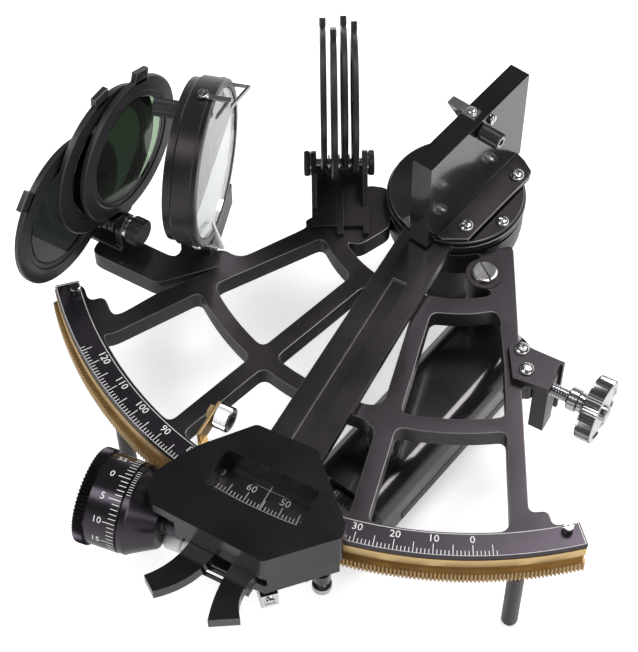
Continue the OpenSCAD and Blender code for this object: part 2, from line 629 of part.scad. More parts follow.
// Lower chassis: floor, the wall under the cover's edge and a post up to the cover
module housing_base() color([0.13, 0.13, 0.12]) on_arm() difference() {
  y = -arc_r;
  union() {
    difference() {
      slab([[-19, y - 17], [8.6, y - 17.8], [14, y - 12.6], [28.4, y + 1.6], [28.4, y + 4],
        [-28, y + 4], [-28, y - 7], [-19, y - 7]], base_top - 3, base_top);
      translate([0, 0, -30]) cylinder(h = 20, r = carriage_in, $fn = 128);
    }
    slab([[-0.5, y - 21.2], [13.5, y - 21.9], [32.6, y - 1.9], [32, y - 1.2], [13.2, y - 21],
      [-0.5, y - 20.4]], -13.5, -6);
    slab([[-0.5, y - 21], [6.4, y - 21.3], [6.4, y - 17], [-0.5, y - 17]], base_top - 3, base_top);
    slab([[-0.5, y - 21], [6.4, y - 21.3], [6.4, y - 20.3], [-0.5, y - 20]], base_top - 3, -6);
    translate([-25, y - 4.7, base_top - 3]) cylinder(h = cover_h - wall_t + 3 - base_top, r = 1.5);
  }
  block([-0.5, 14.4], [y - 25, y - 12], [-3 - lever_t, -3]);
  rotate([0, 0, worm_turn]) translate([pin_at[0], -worm_axis + pin_at[1], -40])
    cylinder(h = 30, r = 1.8);
}
// Reading glass with the index line over the arc
module scale_window() color([0.8, 0.85, 0.85, 0.4]) on_arm()
  block([window_c[0] - window_l / 2, window_c[0] + window_l / 2],
    [window_c[1] - window_w / 2, window_c[1] + window_w / 2], [arm_lift + 0.2, arm_lift + 1.2]);
// Fixed thumb rest with two guide rods
module thumb_rest() color([0.06, 0.06, 0.07]) on_arm() {
  y = -arc_r;
  slab(concat(bend([1.4, y - 17.2], [-0.4, y - 31], [4.2, y - 44.2], 10),
    bend([13.6, y - 38.4], [5.2, y - 29], [13.2, y - 17.2], 10)), -3 - lever_t, -3);
  for (d = [0, 2.6]) translate([0, y - 23.8 - d, -3 - lever_t - 1]) rod_x(-11, 4, 0.8);
  block([1.4, 4.9], [y - 27.6, y - 22.8], [-3 - lever_t - 1.8, -3 - lever_t]);
}
// Pin on which the worm carrier swings, with its nut
module carrier_pin() color([0.3, 0.3, 0.32]) on_arm() rotate([0, 0, worm_turn])
  translate([pin_at[0], -worm_axis + pin_at[1], 0]) {
    translate([0, 0, base_top - 5]) cylinder(h = 5 - base_top + cover_h - wall_t, r = 1.8);
    translate([0, 0, base_top - 6]) cylinder(h = 3, r = 3.6);
  }
// Blade spring of the carrier, and the block with its screw
module carrier_spring() color([0.8, 0.8, 0.8]) on_arm() {
  rotate([0, 0, worm_turn]) translate([-2, -worm_axis - 7.7, -worm_drop])
    block([-13, 0.2], [-0.5, 0], [-1.4, 3]);
  translate([10.4, -arc_r - 16.1, base_top - 3]) rotate([0, 0, 44]) {
    block([-3.2, 3.2], [-6.6, 0], [0, 8]);
    translate([0, -6.6, 4]) rotate([90, 0, 0]) slot_head(2, 1, 0.7);
  }
}
// Bracket of the scale lamp on the side of the housing
module lamp_holder() color([0.72, 0.55, 0.28]) on_arm() {
  c = lamp_at;
  difference() {
    block([c[0] - 7.4, c[0] - 6.2], [c[1] - 12.2, c[1] + 3.5], [1.2, 8.5]);
    translate(c) rod_x(-9, -5, 1.8 + play);
  }
  slab([[c[0] - 7.4, c[1] - 12.2], [-28.2, -arc_r + 9.05], [-25.4, -arc_r + 12.5],
    [c[0] - 6.2, c[1] - 8]], 1.2, 2.6);
}
// Knurled cap of the scale lamp, lying across the arm
module lamp_cap() color([0.8, 0.8, 0.8]) on_arm() translate(lamp_at) {
  rod_x(-6.2 + gap, 0, 4.8);
  rod_x(-8.6, -5, 1.8);
  rod_x(-9.4, -7.4 - gap, 2.8);
}
// Cradle of the worm with the left squeeze lever
module worm_carrier() color([0.1, 0.1, 0.11]) {
  inner = worm_axis - carriage_in;
  low = -worm_r - 2.8;
  difference() {
    on_worm() union() {
      slab([[-19, -5], [-9, -5], [2.4, -1], [8, -1], [9, 2.4], [6, inner], [-19, inner]], low,
        low + 2);
      block([-19, -16], [-5, inner], [low, worm_drop - 3]);
      translate([0.4, 0, 0]) rotate([0, 90, 0]) linear_extrude(2) {
        circle(r = 3.8);
        translate([-5, -2.4]) square([5 - low, inner + 2.4]);
      }
      translate([pin_at[0], pin_at[1], low]) cylinder(h = 5.2, r = 3.2);
      slab([[-37.4, -9.5], [-26, -9.5], [-26, -6], [-17, -6], [-17, -3.4], [-27, -3.4], [-27, -4.2],
        [-37.4, -4.2]], worm_drop - 2.8 - lever_t, worm_drop - 3.2);
    }
    on_worm() {
      rod_x(-20, 5, 3 + play);
      translate([pin_at[0], pin_at[1], -30]) cylinder(h = 60, r = 1.8 + play);
    }
  }
  on_arm() {
    y = -arc_r;
    slab(concat(bend([-16.4, y - 17.6], [-16, y - 30], [-23.8, y - 39.3], 10),
      bend([-17.9, y - 43.4], [-6.4, y - 33], [-6, y - 17.2], 10)), -3 - lever_t, -3);
  }
}
// Fixed sleeve with the vernier, a cone and the neck to the carrier
module vernier_sleeve() color([0.08, 0.08, 0.09]) on_worm() difference() {
  union() {
    rod_x(drum_in + gap, drum_in + 2.7, drum_r - 0.2);
    cone_x(drum_in + 2.7, drum_in + 13, drum_r - 0.2, 11);
    rod_x(drum_in + 12.9, -19, neck_r);
  }
  rod_x(drum_in - 1, -18, 3 + play);
}
// Worm shaft, the threads as rings at the pitch of the rack
module worm_shaft() color([0.7, 0.6, 0.4]) on_worm() {
  pitch = 2 * PI * rack_tip / 720;
  count = 10;
  mid = -7.8;
  rod_x(drum_out - 2, 2.4, 3);
  rod_x(drum_out - 2, drum_out, 7);
  translate([mid, 0, 0]) rotate([0, 90, 0]) rotate_extrude() polygon(concat([[0.1, -7.6]],
    [for (i = [0:count - 1]) let (z = (i - (count - 1) / 2) * pitch)
      each [[worm_r - 1.1, z - pitch / 2], [worm_r, z - pitch / 6], [worm_r, z + pitch / 6],
        [worm_r - 1.1, z + pitch / 2]]], [[0.1, 7.6]]));
}
// Micrometer drum, one turn for one degree of reading
module drum() color([0.07, 0.07, 0.08]) on_worm() difference() {
  union() {
    rod_x(drum_out, drum_out + 4.4, rim_r);
    rod_x(drum_out + 4.3, drum_in, drum_r);
  }
  rod_x(drum_out - 1, drum_in + 1, 3);
}
// Frosted lamp that lights the drum
module drum_lamp() color([0.85, 0.86, 0.84]) on_worm() translate([0, -3.6, -7.7]) {
  rod_x(drum_in + 13.4, -45, 3.5);
  rod_x(-45, -41, 2.2);
}

frame_casting();
arc_rack();
limb_scale();
legs();
pivot_foot();
index_bearing();
handle_front();
handle_back();
handle_posts();
frame_screws();
batteries();
battery_cap();
light_button();
telescope_bracket();
clamp_screw();
horizon_bracket();
horizon_ring();
horizon_glass();
horizon_clips();
horizon_adjuster_top();
horizon_adjuster_side();
horizon_shade_bracket();
horizon_shade_pin();
horizon_shade(1);  // horizon_shade_1
horizon_shade(2);  // horizon_shade_2
horizon_shade(3);  // horizon_shade_3
horizon_filter(1);  // horizon_filter_1
horizon_filter(2);  // horizon_filter_2
horizon_filter(3);  // horizon_filter_3
index_shade_bracket();
index_shade_pin();
index_shade(1);  // index_shade_1
index_shade(2);  // index_shade_2
index_shade(3);  // index_shade_3
index_shade(4);  // index_shade_4
index_filter(1);  // index_filter_1
index_filter(2);  // index_filter_2
index_filter(3);  // index_filter_3
index_filter(4);  // index_filter_4
index_arm();
index_shaft();
index_table();
mirror_foot();
mirror_frame();
mirror_glass();
mirror_clips();
mirror_adjuster();
housing_cover();
housing_base();
scale_window();
thumb_rest();
carrier_pin();
carrier_spring();
lamp_holder();
lamp_cap();
worm_carrier();
vernier_sleeve();
worm_shaft();
drum();
drum_lamp();
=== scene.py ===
# Marine sextant on its legs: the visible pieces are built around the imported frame.
# Each section makes one piece, or one group of like pieces, in the order of assembly.
# Shapes are drawn in millimetres in the piece's own axes and end in metres in the frame.
import math

import bpy
from mathutils import Matrix, Vector


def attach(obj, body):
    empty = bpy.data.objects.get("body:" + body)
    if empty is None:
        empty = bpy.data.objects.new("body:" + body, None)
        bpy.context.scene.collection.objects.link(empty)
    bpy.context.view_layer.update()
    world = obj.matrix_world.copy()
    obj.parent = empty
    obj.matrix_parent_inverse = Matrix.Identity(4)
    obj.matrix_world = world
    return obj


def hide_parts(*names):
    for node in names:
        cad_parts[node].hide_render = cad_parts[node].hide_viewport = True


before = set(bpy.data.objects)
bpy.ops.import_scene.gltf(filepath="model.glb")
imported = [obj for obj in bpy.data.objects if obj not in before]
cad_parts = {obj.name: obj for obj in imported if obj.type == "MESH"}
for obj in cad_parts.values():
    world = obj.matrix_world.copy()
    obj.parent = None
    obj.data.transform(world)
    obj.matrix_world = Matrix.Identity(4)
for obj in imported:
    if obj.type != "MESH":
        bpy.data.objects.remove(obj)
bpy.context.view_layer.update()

# CAMERA. It stands over the operator's left shoulder and looks down on the arc,
# with the lens that gives the width between the arc's division lines.
LENS = 102.4
VIEW_RIGHT = Vector((0.86294, 0.50524, -0.00755))
VIEW_AHEAD = Vector((-0.30289, 0.50525, -0.80807))
bpy.ops.object.camera_add(location=(0.19512, -0.43166, 0.61540))
camera = bpy.context.object
camera.rotation_euler = Matrix(
    (VIEW_RIGHT, VIEW_RIGHT.cross(VIEW_AHEAD), -VIEW_AHEAD)).transposed().to_euler()
camera.data.lens = LENS
camera.data.sensor_width = 36
camera.data.clip_start = 0.02
camera.data.clip_end = 20
bpy.context.scene.camera = camera

# TABLE. A pale matt sheet, wide enough to fill the picture, on which the legs stand.
# It keeps the shadow and shows white to the eye and to polished metal.
bpy.ops.mesh.primitive_grid_add(x_subdivisions=8, y_subdivisions=8, size=6)
table = bpy.context.object
table.name = "table_sheet"
paper = bpy.data.materials.new("pale_paper")
paper.use_nodes = True
nodes, links = paper.node_tree.nodes, paper.node_tree.links
matt = nodes["Principled BSDF"]
matt.inputs["Roughness"].default_value = 0.9
matt.inputs["Specular IOR Level"].default_value = 0.1
grain = nodes.new("ShaderNodeTexNoise")
grain.inputs["Scale"].default_value = 900
tone = nodes.new("ShaderNodeMix")
tone.data_type = "RGBA"
tone.inputs["A"].default_value = (0.93, 0.93, 0.925, 1)
tone.inputs["B"].default_value = (0.96, 0.96, 0.955, 1)
links.new(grain.outputs["Fac"], tone.inputs["Factor"])
links.new(tone.outputs["Result"], matt.inputs["Base Color"])
rays = nodes.new("ShaderNodeLightPath")
seen = nodes.new("ShaderNodeMath")
seen.operation = "MAXIMUM"
glow = nodes.new("ShaderNodeMath")
glow.operation = "MULTIPLY"
glow.inputs[1].default_value = 0.42
links.new(rays.outputs["Is Camera Ray"], seen.inputs[0])
links.new(rays.outputs["Is Transmission Ray"], seen.inputs[1])
links.new(seen.outputs[0], glow.inputs[0])
matt.inputs["Emission Color"].default_value = (1, 1, 1, 1)
links.new(glow.outputs[0], matt.inputs["Emission Strength"])
table.data.materials.append(paper)

# STUDIO. A pale room with a dim ceiling and three soft boxes: one behind the hub that the
# flat faces on the right mirror, one over the drum and one on the right.
room = bpy.data.worlds.new("pale_room")
bpy.context.scene.world = room
room.use_nodes = True
nodes, links = room.node_tree.nodes, room.node_tree.links
sky = nodes["Background"]
aim = nodes.new("ShaderNodeTexCoord")
parts = nodes.new("ShaderNodeSeparateXYZ")
height = nodes.new("ShaderNodeValToRGB")
height.color_ramp.elements[0].position = 0.10
height.color_ramp.elements[0].color = (0.95, 0.95, 0.95, 1)
height.color_ramp.elements[1].position = 0.42
height.color_ramp.elements[1].color = (0.055, 0.055, 0.06, 1)
links.new(aim.outputs["Generated"], parts.inputs[0])
links.new(parts.outputs["Z"], height.inputs["Fac"])
rays = nodes.new("ShaderNodeLightPath")
plain = nodes.new("ShaderNodeMix")
plain.data_type = "RGBA"
plain.inputs["A"].default_value = (0.62, 0.62, 0.62, 1)
links.new(rays.outputs["Is Glossy Ray"], plain.inputs["Factor"])
links.new(height.outputs["Color"], plain.inputs["B"])
backdrop = nodes.new("ShaderNodeMix")
backdrop.data_type = "RGBA"
backdrop.inputs["B"].default_value = (1, 1, 1, 1)
clear = nodes.new("ShaderNodeMath")
clear.operation = "MAXIMUM"
links.new(rays.outputs["Is Camera Ray"], clear.inputs[0])
links.new(rays.outputs["Is Transmission Ray"], clear.inputs[1])
links.new(clear.outputs[0], backdrop.inputs["Factor"])
links.new(plain.outputs["Result"], backdrop.inputs["A"])
links.new(backdrop.outputs["Result"], sky.inputs["Color"])
for name, place, aim_at, size, watts, colour in (
        ("box_behind_hub", (0.13, 0.45, 1), (0.06, -0.1, 0.05), (0.42, 0.42), 6, (1, 0.95, 1)),
        ("box_over_drum", (-0.42, -0.66, 1), (-0.05, -0.15, 0.05), (0.42, 0.5), 3.6, (1, 0.98, 1)),
        ("box_right", (1.1, -0.5, 0.6), (0, -0.1, 0.05), (0.7, 0.5), 3.5, (1, 1, 1))):
    bpy.ops.object.light_add(type="AREA", location=place)
    lamp = bpy.context.object
    lamp.name = name
    lamp.data.shape = "RECTANGLE"
    lamp.data.size, lamp.data.size_y = size
    lamp.data.energy = watts
    lamp.data.color = colour
    lamp.rotation_euler = (Vector(aim_at) - Vector(place)).to_track_quat("-Z", "Y").to_euler()
bpy.context.scene.view_settings.view_transform = "Standard"

# LATTICE. The frame is one aluminium casting with hub, spokes, rings and the wing of the
# horizon mirror. It has black crackle enamel and rounded inner corners. Its upward bevels are
# lighter, partly as rubbed metal and partly as painted highlight.
ARC_Z = 54
FACE_Z = ARC_Z - 2
BACK_Z = ARC_Z - 10


def enamel(name, dark, light, rough, grain=2600, relief=0.12, metal=0.0, tint=(1, 1, 1),
           gloss=0.5, coat=0.0, patch=45, stretch=(1, 1, 1)):
    """A finish with fine grain, broad patches of tone and uneven gloss, on Object axes."""
    finish = bpy.data.materials.new(name)
    finish.use_nodes = True
    nodes, links = finish.node_tree.nodes, finish.node_tree.links
    shader = nodes["Principled BSDF"]
    axes = nodes.new("ShaderNodeTexCoord")
    lay = nodes.new("ShaderNodeMapping")
    lay.inputs["Scale"].default_value = stretch
    fine = nodes.new("ShaderNodeTexNoise")
    fine.inputs["Scale"].default_value = grain
    fine.inputs["Detail"].default_value = 3
    broad = nodes.new("ShaderNodeTexNoise")
    broad.inputs["Scale"].default_value = patch
    blend = nodes.new("ShaderNodeMath")
    blend.operation = "MULTIPLY_ADD"
    blend.inputs[1].default_value = 0.45
    tone = nodes.new("ShaderNodeMix")
    tone.data_type = "RGBA"
    tone.inputs["A"].default_value = (*dark, 1)
    tone.inputs["B"].default_value = (*light, 1)
    polish = nodes.new("ShaderNodeMapRange")
    polish.inputs["From Min"].default_value = 0.25
    polish.inputs["From Max"].default_value = 0.75
    polish.inputs["To Min"].default_value = rough[0]
    polish.inputs["To Max"].default_value = rough[1]
    bump = nodes.new("ShaderNodeBump")
    bump.inputs["Strength"].default_value = relief
    bump.inputs["Distance"].default_value = 0.0001
    links.new(axes.outputs["Object"], lay.inputs["Vector"])
    links.new(lay.outputs["Vector"], fine.inputs["Vector"])
    links.new(axes.outputs["Object"], broad.inputs["Vector"])
    links.new(fine.outputs["Fac"], blend.inputs[0])
    links.new(broad.outputs["Fac"], blend.inputs[2])
    links.new(blend.outputs[0], tone.inputs["Factor"])
    links.new(tone.outputs["Result"], shader.inputs["Base Color"])
    links.new(broad.outputs["Fac"], polish.inputs["Value"])
    links.new(polish.outputs["Result"], shader.inputs["Roughness"])
    links.new(fine.outputs["Fac"], bump.inputs["Height"])
    links.new(bump.outputs["Normal"], shader.inputs["Normal"])
    shader.inputs["Metallic"].default_value = metal
    shader.inputs["Specular Tint"].default_value = (*tint, 1)
    shader.inputs["Specular IOR Level"].default_value = gloss
    shader.inputs["Coat Weight"].default_value = coat
    shader.inputs["Coat Roughness"].default_value = 0.08
    return finish


frame_black = enamel("crackle_black", (0.005, 0.005, 0.005), (0.013, 0.012, 0.013), (0.24, 0.40),
                     relief=0.45, tint=(1.0, 0.90, 0.98), gloss=0.5)
# The lighter edge finish stands for rubbed bare metal and also for painted highlight along the
# edges.
edge_wear_and_highlight = enamel("edge_wear_and_highlight", (0.06, 0.06, 0.062), (0.20, 0.195, 0.20), (0.28, 0.42),
                     grain=1800, relief=0.1, metal=0.7)


def hold(piece):
    """Put everything else down and take this piece in hand."""
    if bpy.context.mode != "OBJECT":
        bpy.ops.object.mode_set(mode="OBJECT")
    bpy.ops.object.select_all(action="DESELECT")
    piece.select_set(True)
    bpy.context.view_layer.objects.active = piece
    return piece


def cast_copy(node, name, finishes):
    """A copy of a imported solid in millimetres, its loose triangles merged into faces."""
    piece = bpy.data.objects.new(name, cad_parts[node].data.copy())
    bpy.context.scene.collection.objects.link(piece)
    piece.data.transform(Matrix.Scale(1000, 4))
    piece.data.materials.clear()
    for finish in finishes:
        piece.data.materials.append(finish)
    hold(piece)
    bpy.ops.object.mode_set(mode="EDIT")
    bpy.ops.mesh.select_all(action="SELECT")
    bpy.ops.mesh.remove_doubles(threshold=0.0005)
    bpy.ops.mesh.dissolve_limited(angle_limit=math.radians(0.5))
    bpy.ops.object.mode_set(mode="OBJECT")
    return piece


def section_loops(node, z):
    """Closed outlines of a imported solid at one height, each as a list of points."""
    slice_ = cast_copy(node, "slice", [])
    bpy.ops.object.mode_set(mode="EDIT")
    bpy.ops.mesh.select_all(action="SELECT")
    bpy.ops.mesh.bisect(plane_co=(0, 0, z), plane_no=(0, 0, 1), clear_inner=True, clear_outer=True)
    bpy.ops.mesh.select_all(action="SELECT")
    bpy.ops.mesh.remove_doubles(threshold=0.05)
    bpy.ops.object.mode_set(mode="OBJECT")
    near = {}
    for edge in slice_.data.edges:
        a, b = edge.vertices
        near.setdefault(a, []).append(b)
        near.setdefault(b, []).append(a)
    spots = [v.co.xy.copy() for v in slice_.data.vertices]
    loops = []
    while near:
        here = min(near)
        loop = []
        while here in near:
            loop.append(spots[here])
            following = [n for n in near.pop(here) if n in near]
            if not following:
                break
            here = following[0]
        loops.append(loop)
    bpy.data.objects.remove(slice_)
    return loops


def filleted(loop, reach, turn=20, steps=5):
    """An outline with each sharp corner replaced by a curve that starts reach before it."""
    count = len(loop)
    lengths = [(loop[(i + 1) % count] - loop[i]).length for i in range(count)]
    whole = sum(lengths)
    marks = [sum(lengths[:i]) for i in range(count)]

    def spot(distance):
        distance %= whole
        i = max(k for k in range(count) if marks[k] <= distance)
        share = (distance - marks[i]) / lengths[i]
        return loop[i].lerp(loop[(i + 1) % count], share)

    sharp = []
    for i in range(count):
        a, b = loop[i] - loop[i - 1], loop[(i + 1) % count] - loop[i]
        if abs(a.angle_signed(b)) > math.radians(turn):
            sharp.append(i)
    cuts = []
    for k, i in enumerate(sharp):
        before = (marks[i] - marks[sharp[k - 1]]) % whole or whole
        after = (marks[sharp[(k + 1) % len(sharp)]] - marks[i]) % whole or whole
        cuts.append((i, min(reach, 0.45 * before), min(reach, 0.45 * after)))
    done = []
    for i in range(count):
        cut = [c for c in cuts if c[0] == i]
        if cut:
            first, last = spot(marks[i] - cut[0][1]), spot(marks[i] + cut[0][2])
            for k in range(steps + 1):
                t = k / steps
                done.append(first * (1 - t) ** 2 + loop[i] * (2 * t * (1 - t)) + last * t ** 2)
        elif not any((marks[c[0]] - marks[i]) % whole < c[1]
                     or (marks[i] - marks[c[0]]) % whole < c[2] for c in cuts):
            done.append(loop[i])
    return done


def flat_casting(name, loops, low, high, edge, finishes):
    """A plate from outlines, the inner ones as openings, with rounded edges."""
    outline = bpy.data.curves.new(name, "CURVE")
    outline.dimensions = "2D"
    outline.fill_mode = "BOTH"
    outline.extrude = (high - low) / 2 - edge
    outline.bevel_depth = edge
    outline.bevel_resolution = 1
    outline.offset = -edge
    for loop in loops:
        spline = outline.splines.new("POLY")
        spline.points.add(len(loop) - 1)
        for point, spot in zip(spline.points, loop):
            point.co = (spot[0], spot[1], 0, 1)
        spline.use_cyclic_u = True
    piece = bpy.data.objects.new(name, outline)
    bpy.context.scene.collection.objects.link(piece)
    hold(piece)
    bpy.ops.object.convert(target="MESH")
    piece = bpy.context.object
    piece.data.transform(Matrix.Translation((0, 0, (low + high) / 2)))
    piece.data.materials.clear()
    for finish in finishes:
        piece.data.materials.append(finish)
    bpy.ops.object.mode_set(mode="EDIT")
    bpy.ops.mesh.select_all(action="SELECT")
    bpy.ops.mesh.remove_doubles(threshold=0.001)
    bpy.ops.mesh.normals_make_consistent(inside=False)
    bpy.ops.object.mode_set(mode="OBJECT")
    # With two finishes, the upward-tilted bevels take the lighter second one: rubbed metal and
    # painted highlight.
    if len(finishes) > 1:
        for face in piece.data.polygons:
            face.material_index = int(0.25 < face.normal.z < 0.93)
    return piece


def turned(name, stations, finishes, sides=64, ring=False, ridge=0.0):
    """A lathe piece along z through stations of radius and height. A ring's last station
    is its first. With a ridge, every second corner lies that much further in."""
    radius, height = stations[0]
    bpy.ops.object.select_all(action="DESELECT")
    bpy.ops.mesh.primitive_circle_add(vertices=sides, radius=radius, location=(0, 0, height),
                                      fill_type="NOTHING" if ring else "NGON")
    piece = bpy.context.object
    piece.name = piece.data.name = name
    if ridge:
        for spot in list(piece.data.vertices)[::2]:
            spot.co.xy *= 1 - ridge / radius
    bpy.ops.object.mode_set(mode="EDIT")
    bpy.ops.mesh.select_all(action="SELECT")
    for (r0, z0), (r1, z1) in zip(stations, stations[1:]):
        bpy.ops.mesh.extrude_region_move(TRANSFORM_OT_translate={"value": (0, 0, z1 - z0)})
        bpy.ops.transform.resize(value=(r1 / r0, r1 / r0, 1), center_override=(0, 0, z1))
    bpy.ops.mesh.select_all(action="SELECT")
    bpy.ops.mesh.remove_doubles(threshold=0.0005)
    bpy.ops.mesh.normals_make_consistent(inside=False)
    bpy.ops.object.mode_set(mode="OBJECT")
    bpy.ops.object.transform_apply(location=True)
    for finish in finishes:
        piece.data.materials.append(finish)
    return piece


def eased(piece, width, angle=35, segments=2):
    """Break the sharp edges. The new faces take the piece's second finish, if it has one."""
    hold(piece)
    edges = piece.modifiers.new("edges", "BEVEL")
    edges.width = width
    edges.segments = segments
    edges.limit_method = "ANGLE"
    edges.angle_limit = math.radians(angle)
    edges.material = 1 if len(piece.data.materials) > 1 else -1
    bpy.ops.object.modifier_apply(modifier=edges.name)
    return piece


def bar(name, low, high, finishes, edge=0.3, place=None):
    """A straight block between two corners with eased edges."""
    bpy.ops.object.select_all(action="DESELECT")
    middle = [(a + b) / 2 for a, b in zip(low, high)]
    bpy.ops.mesh.primitive_cube_add(size=1, location=middle,
                                    scale=[b - a for a, b in zip(low, high)])
    piece = bpy.context.object
    piece.name = piece.data.name = name
    bpy.ops.object.transform_apply(location=True, rotation=True, scale=True)
    for finish in finishes:
        piece.data.materials.append(finish)
    eased(piece, edge)
    if place:
        piece.data.transform(place)
    return piece


def joined(name, pieces):
    """Several parts that are one piece on the real object."""
    hold(pieces[0])
    for other in pieces[1:]:
        other.select_set(True)
    if len(pieces) > 1:
        bpy.ops.object.join()
    pieces[0].name = pieces[0].data.name = name
    return pieces[0]


def shift(x, y, z):
    return Matrix.Translation((x, y, z))


def turn_by(degrees, axis="Z"):
    return Matrix.Rotation(math.radians(degrees), 4, axis)


def fit(piece, body, place=None, node=None, smooth=30):
    """Set a finished piece in its place on its body, in metres."""
    hold(piece)
    piece.matrix_world = Matrix.Scale(0.001, 4) @ (place or Matrix())
    bpy.ops.object.transform_apply(location=True, rotation=True, scale=True)
    if smooth:
        bpy.ops.object.shade_smooth_by_angle(angle=math.radians(smooth))
        level = piece.modifiers.new("level", "WEIGHTED_NORMAL")
        level.keep_sharp = True
        bpy.ops.object.modifier_apply(modifier=level.name)
    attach(piece, body)
    if node:
        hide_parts(*([node] if isinstance(node, str) else node))
    return piece


def dressed(node, body, finishes, edge=0.35, angle=35):
    """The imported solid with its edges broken, for pieces whose shape is right."""
    piece = eased(cast_copy(node, node + "_finished", finishes), edge, angle)
    return fit(piece, body, node=node)


ARC = shift(0, 0, ARC_Z)
ALONG_X = turn_by(90, "Y")
lattice_loops = [filleted(loop, 3.4) for loop in section_loops("frame_casting", 48)]
lattice = [flat_casting("plate", lattice_loops, BACK_Z, FACE_Z, 0.3, [frame_black, edge_wear_and_highlight]),
           turned("boss", [(7.3, FACE_Z - 1), (7.3, FACE_Z + 0.35), (7.05, FACE_Z + 0.6)],
                  [frame_black, edge_wear_and_highlight]),
           turned("hub", [(9, 39.5), (25.9, 39.5), (26.5, 40.1), (26.5, 44.4), (9, 44.4),
                          (9, 39.5)], [frame_black], 128, ring=True)]
lattice[1].data.transform(shift(26.4, -26.4, 0))
fit(joined("lattice", lattice), "frame", node="frame_casting")

# ARC. The limb is a turned aluminium plate with a satin black face and a bevelled outer
# edge. The whole degrees of the scale are engraved and filled with white.
LIMB_IN, LIMB_OUT, SCALE_HALF = 151, 160, 44.4
limb_black = enamel("limb_black", (0.006, 0.005, 0.007), (0.012, 0.011, 0.013), (0.24, 0.34),
                    grain=3400, relief=0.14, tint=(0.98, 0.86, 1.0), gloss=0.55)
engraved_white = enamel("engraved_white", (0.62, 0.62, 0.60), (0.82, 0.82, 0.80), (0.5, 0.7),
                        grain=4200, relief=0.05, patch=160)
dressed("limb_scale", "frame", [limb_black, edge_wear_and_highlight], edge=0.2)


def polar(radius, degrees):
    return Vector((radius * math.cos(math.radians(degrees)),
                   radius * math.sin(math.radians(degrees))))


def sector(r0, r1, start, end, steps):
    """Outline of a part of a ring, between two angles."""
    turns = [start + (end - start) * k / steps for k in range(steps + 1)]
    return [polar(r1, a) for a in turns] + [polar(r0, a) for a in reversed(turns)]


def lettered(text, size, finishes, depth=0.02):
    """Plain upright numerals as a thin plate, centred on the origin, tops toward +Y."""
    bpy.ops.object.select_all(action="DESELECT")
    bpy.ops.object.text_add()
    label = bpy.context.object
    label.data.body = text
    label.data.size = size
    label.data.align_x = "CENTER"
    label.data.align_y = "CENTER"
    label.data.extrude = depth
    label.data.resolution_u = 2
    bpy.ops.object.convert(target="MESH")
    label = bpy.context.object
    label.data.materials.clear()
    for finish in finishes:
        label.data.materials.append(finish)
    return label


def reading_angle(reading):
    return -90 + (60 - reading) / 2


marks = []
MARK_W = 0.13
for reading in range(-6, 127):
    inner = 155.6 if reading % 5 == 0 else 157.9
    half = math.degrees(MARK_W / 159)
    middle = reading_angle(reading)
    marks.append(sector(inner, LIMB_OUT - 0.1, middle - half, middle + half, 1))
top, bottom = -90 + SCALE_HALF - 0.25, -90 - SCALE_HALF + 0.25
marks.append(sector(LIMB_IN + 0.25, LIMB_IN + 0.45, bottom, top, 120))
marks.append(sector(LIMB_OUT - 0.25, LIMB_OUT - 0.1, bottom, top, 120))
for end in (top, bottom):
    marks.append(sector(LIMB_IN + 0.25, LIMB_OUT - 0.1, end - 0.05, end + 0.05, 1))
arc_marks = [flat_casting("marks", [loop], 0.004, 0.03, 0, [engraved_white]) for loop in marks]
for reading in range(0, 121, 10):
    number = lettered(str(reading), 4.0, [engraved_white])
    angle = reading_angle(reading)
    spot = polar(153.6, angle)
    number.data.transform(shift(spot.x, spot.y, 0.012) @ turn_by(angle + 90))
    arc_marks.append(number)
fit(joined("arc_marks", arc_marks), "frame", ARC, smooth=0)

# RACK. The brass band under the limb has a satin lip, a groove and below them the
# milled teeth, one for each degree. The teeth are coloured darker, as painted shade.
rack_brass = enamel("rack_brass", (0.56, 0.40, 0.19), (0.66, 0.48, 0.23), (0.38, 0.46), grain=2400,
                    relief=0.10, metal=1.0, patch=12)
painted_shade_brass = enamel("painted_shade_brass", (0.30, 0.20, 0.09), (0.50, 0.36, 0.18), (0.40, 0.55),
                       grain=900, relief=0.15, metal=1.0, patch=120)
TEETH_TOP = ARC_Z - 9.2
rack = cast_copy("arc_rack", "rack", [rack_brass, painted_shade_brass])
# Faces below the top of the teeth take the darker brass: painted shade on the teeth.
for face in rack.data.polygons:
    face.material_index = int(face.center.z < TEETH_TOP + 0.05)
fit(rack, "frame", node="arc_rack", smooth=25)

# LEGS. Two turned legs with a rounded tip screw into blocks in the corner of the rack,
# and a wider cup under the hub makes the third foot. All are black anodised.
leg_black = enamel("leg_black", (0.010, 0.009, 0.008), (0.022, 0.020, 0.019), (0.28, 0.42),
                   grain=1600, relief=0.08, gloss=0.35, stretch=(1, 1, 6))
LEG_R, LEG_LEN = 3.1, 41.3
for side, angle in (("right", -54), ("left", -113.5)):
    stations = [(0.6, 0), (1.9, 0.15), (2.7, 0.7), (LEG_R, 1.8), (LEG_R, LEG_LEN - 6),
                (2.5, LEG_LEN - 5), (2.5, LEG_LEN - 3.4), (LEG_R, LEG_LEN - 2.6),
                (LEG_R, LEG_LEN)]
    leg = eased(turned("leg", stations, [leg_black], sides=40), 0.15)
    block = bar("leg_block", (-4, -157, LEG_LEN), (4, -150, BACK_Z),
                [leg_black, edge_wear_and_highlight], 0.6)
    leg.data.transform(shift(0, -157.5, 0))
    whole = joined("leg_" + side, [leg, block])
    fit(whole, "frame", turn_by(angle + 90), node="legs")
foot = turned("pivot_foot_cup", [(10.6, 0), (11.8, 0.2), (12, 0.8), (12, 2.2), (11.7, 2.8),
              (11, 3.2), (11, 28.8), (10.4, 29.8), (9.2, 30), (9.05, 29.6), (9.05, 24.2),
              (8.6, 24), (8.6, 18.2), (8, 18)], [leg_black], sides=72)
fit(foot, "frame", node="pivot_foot")

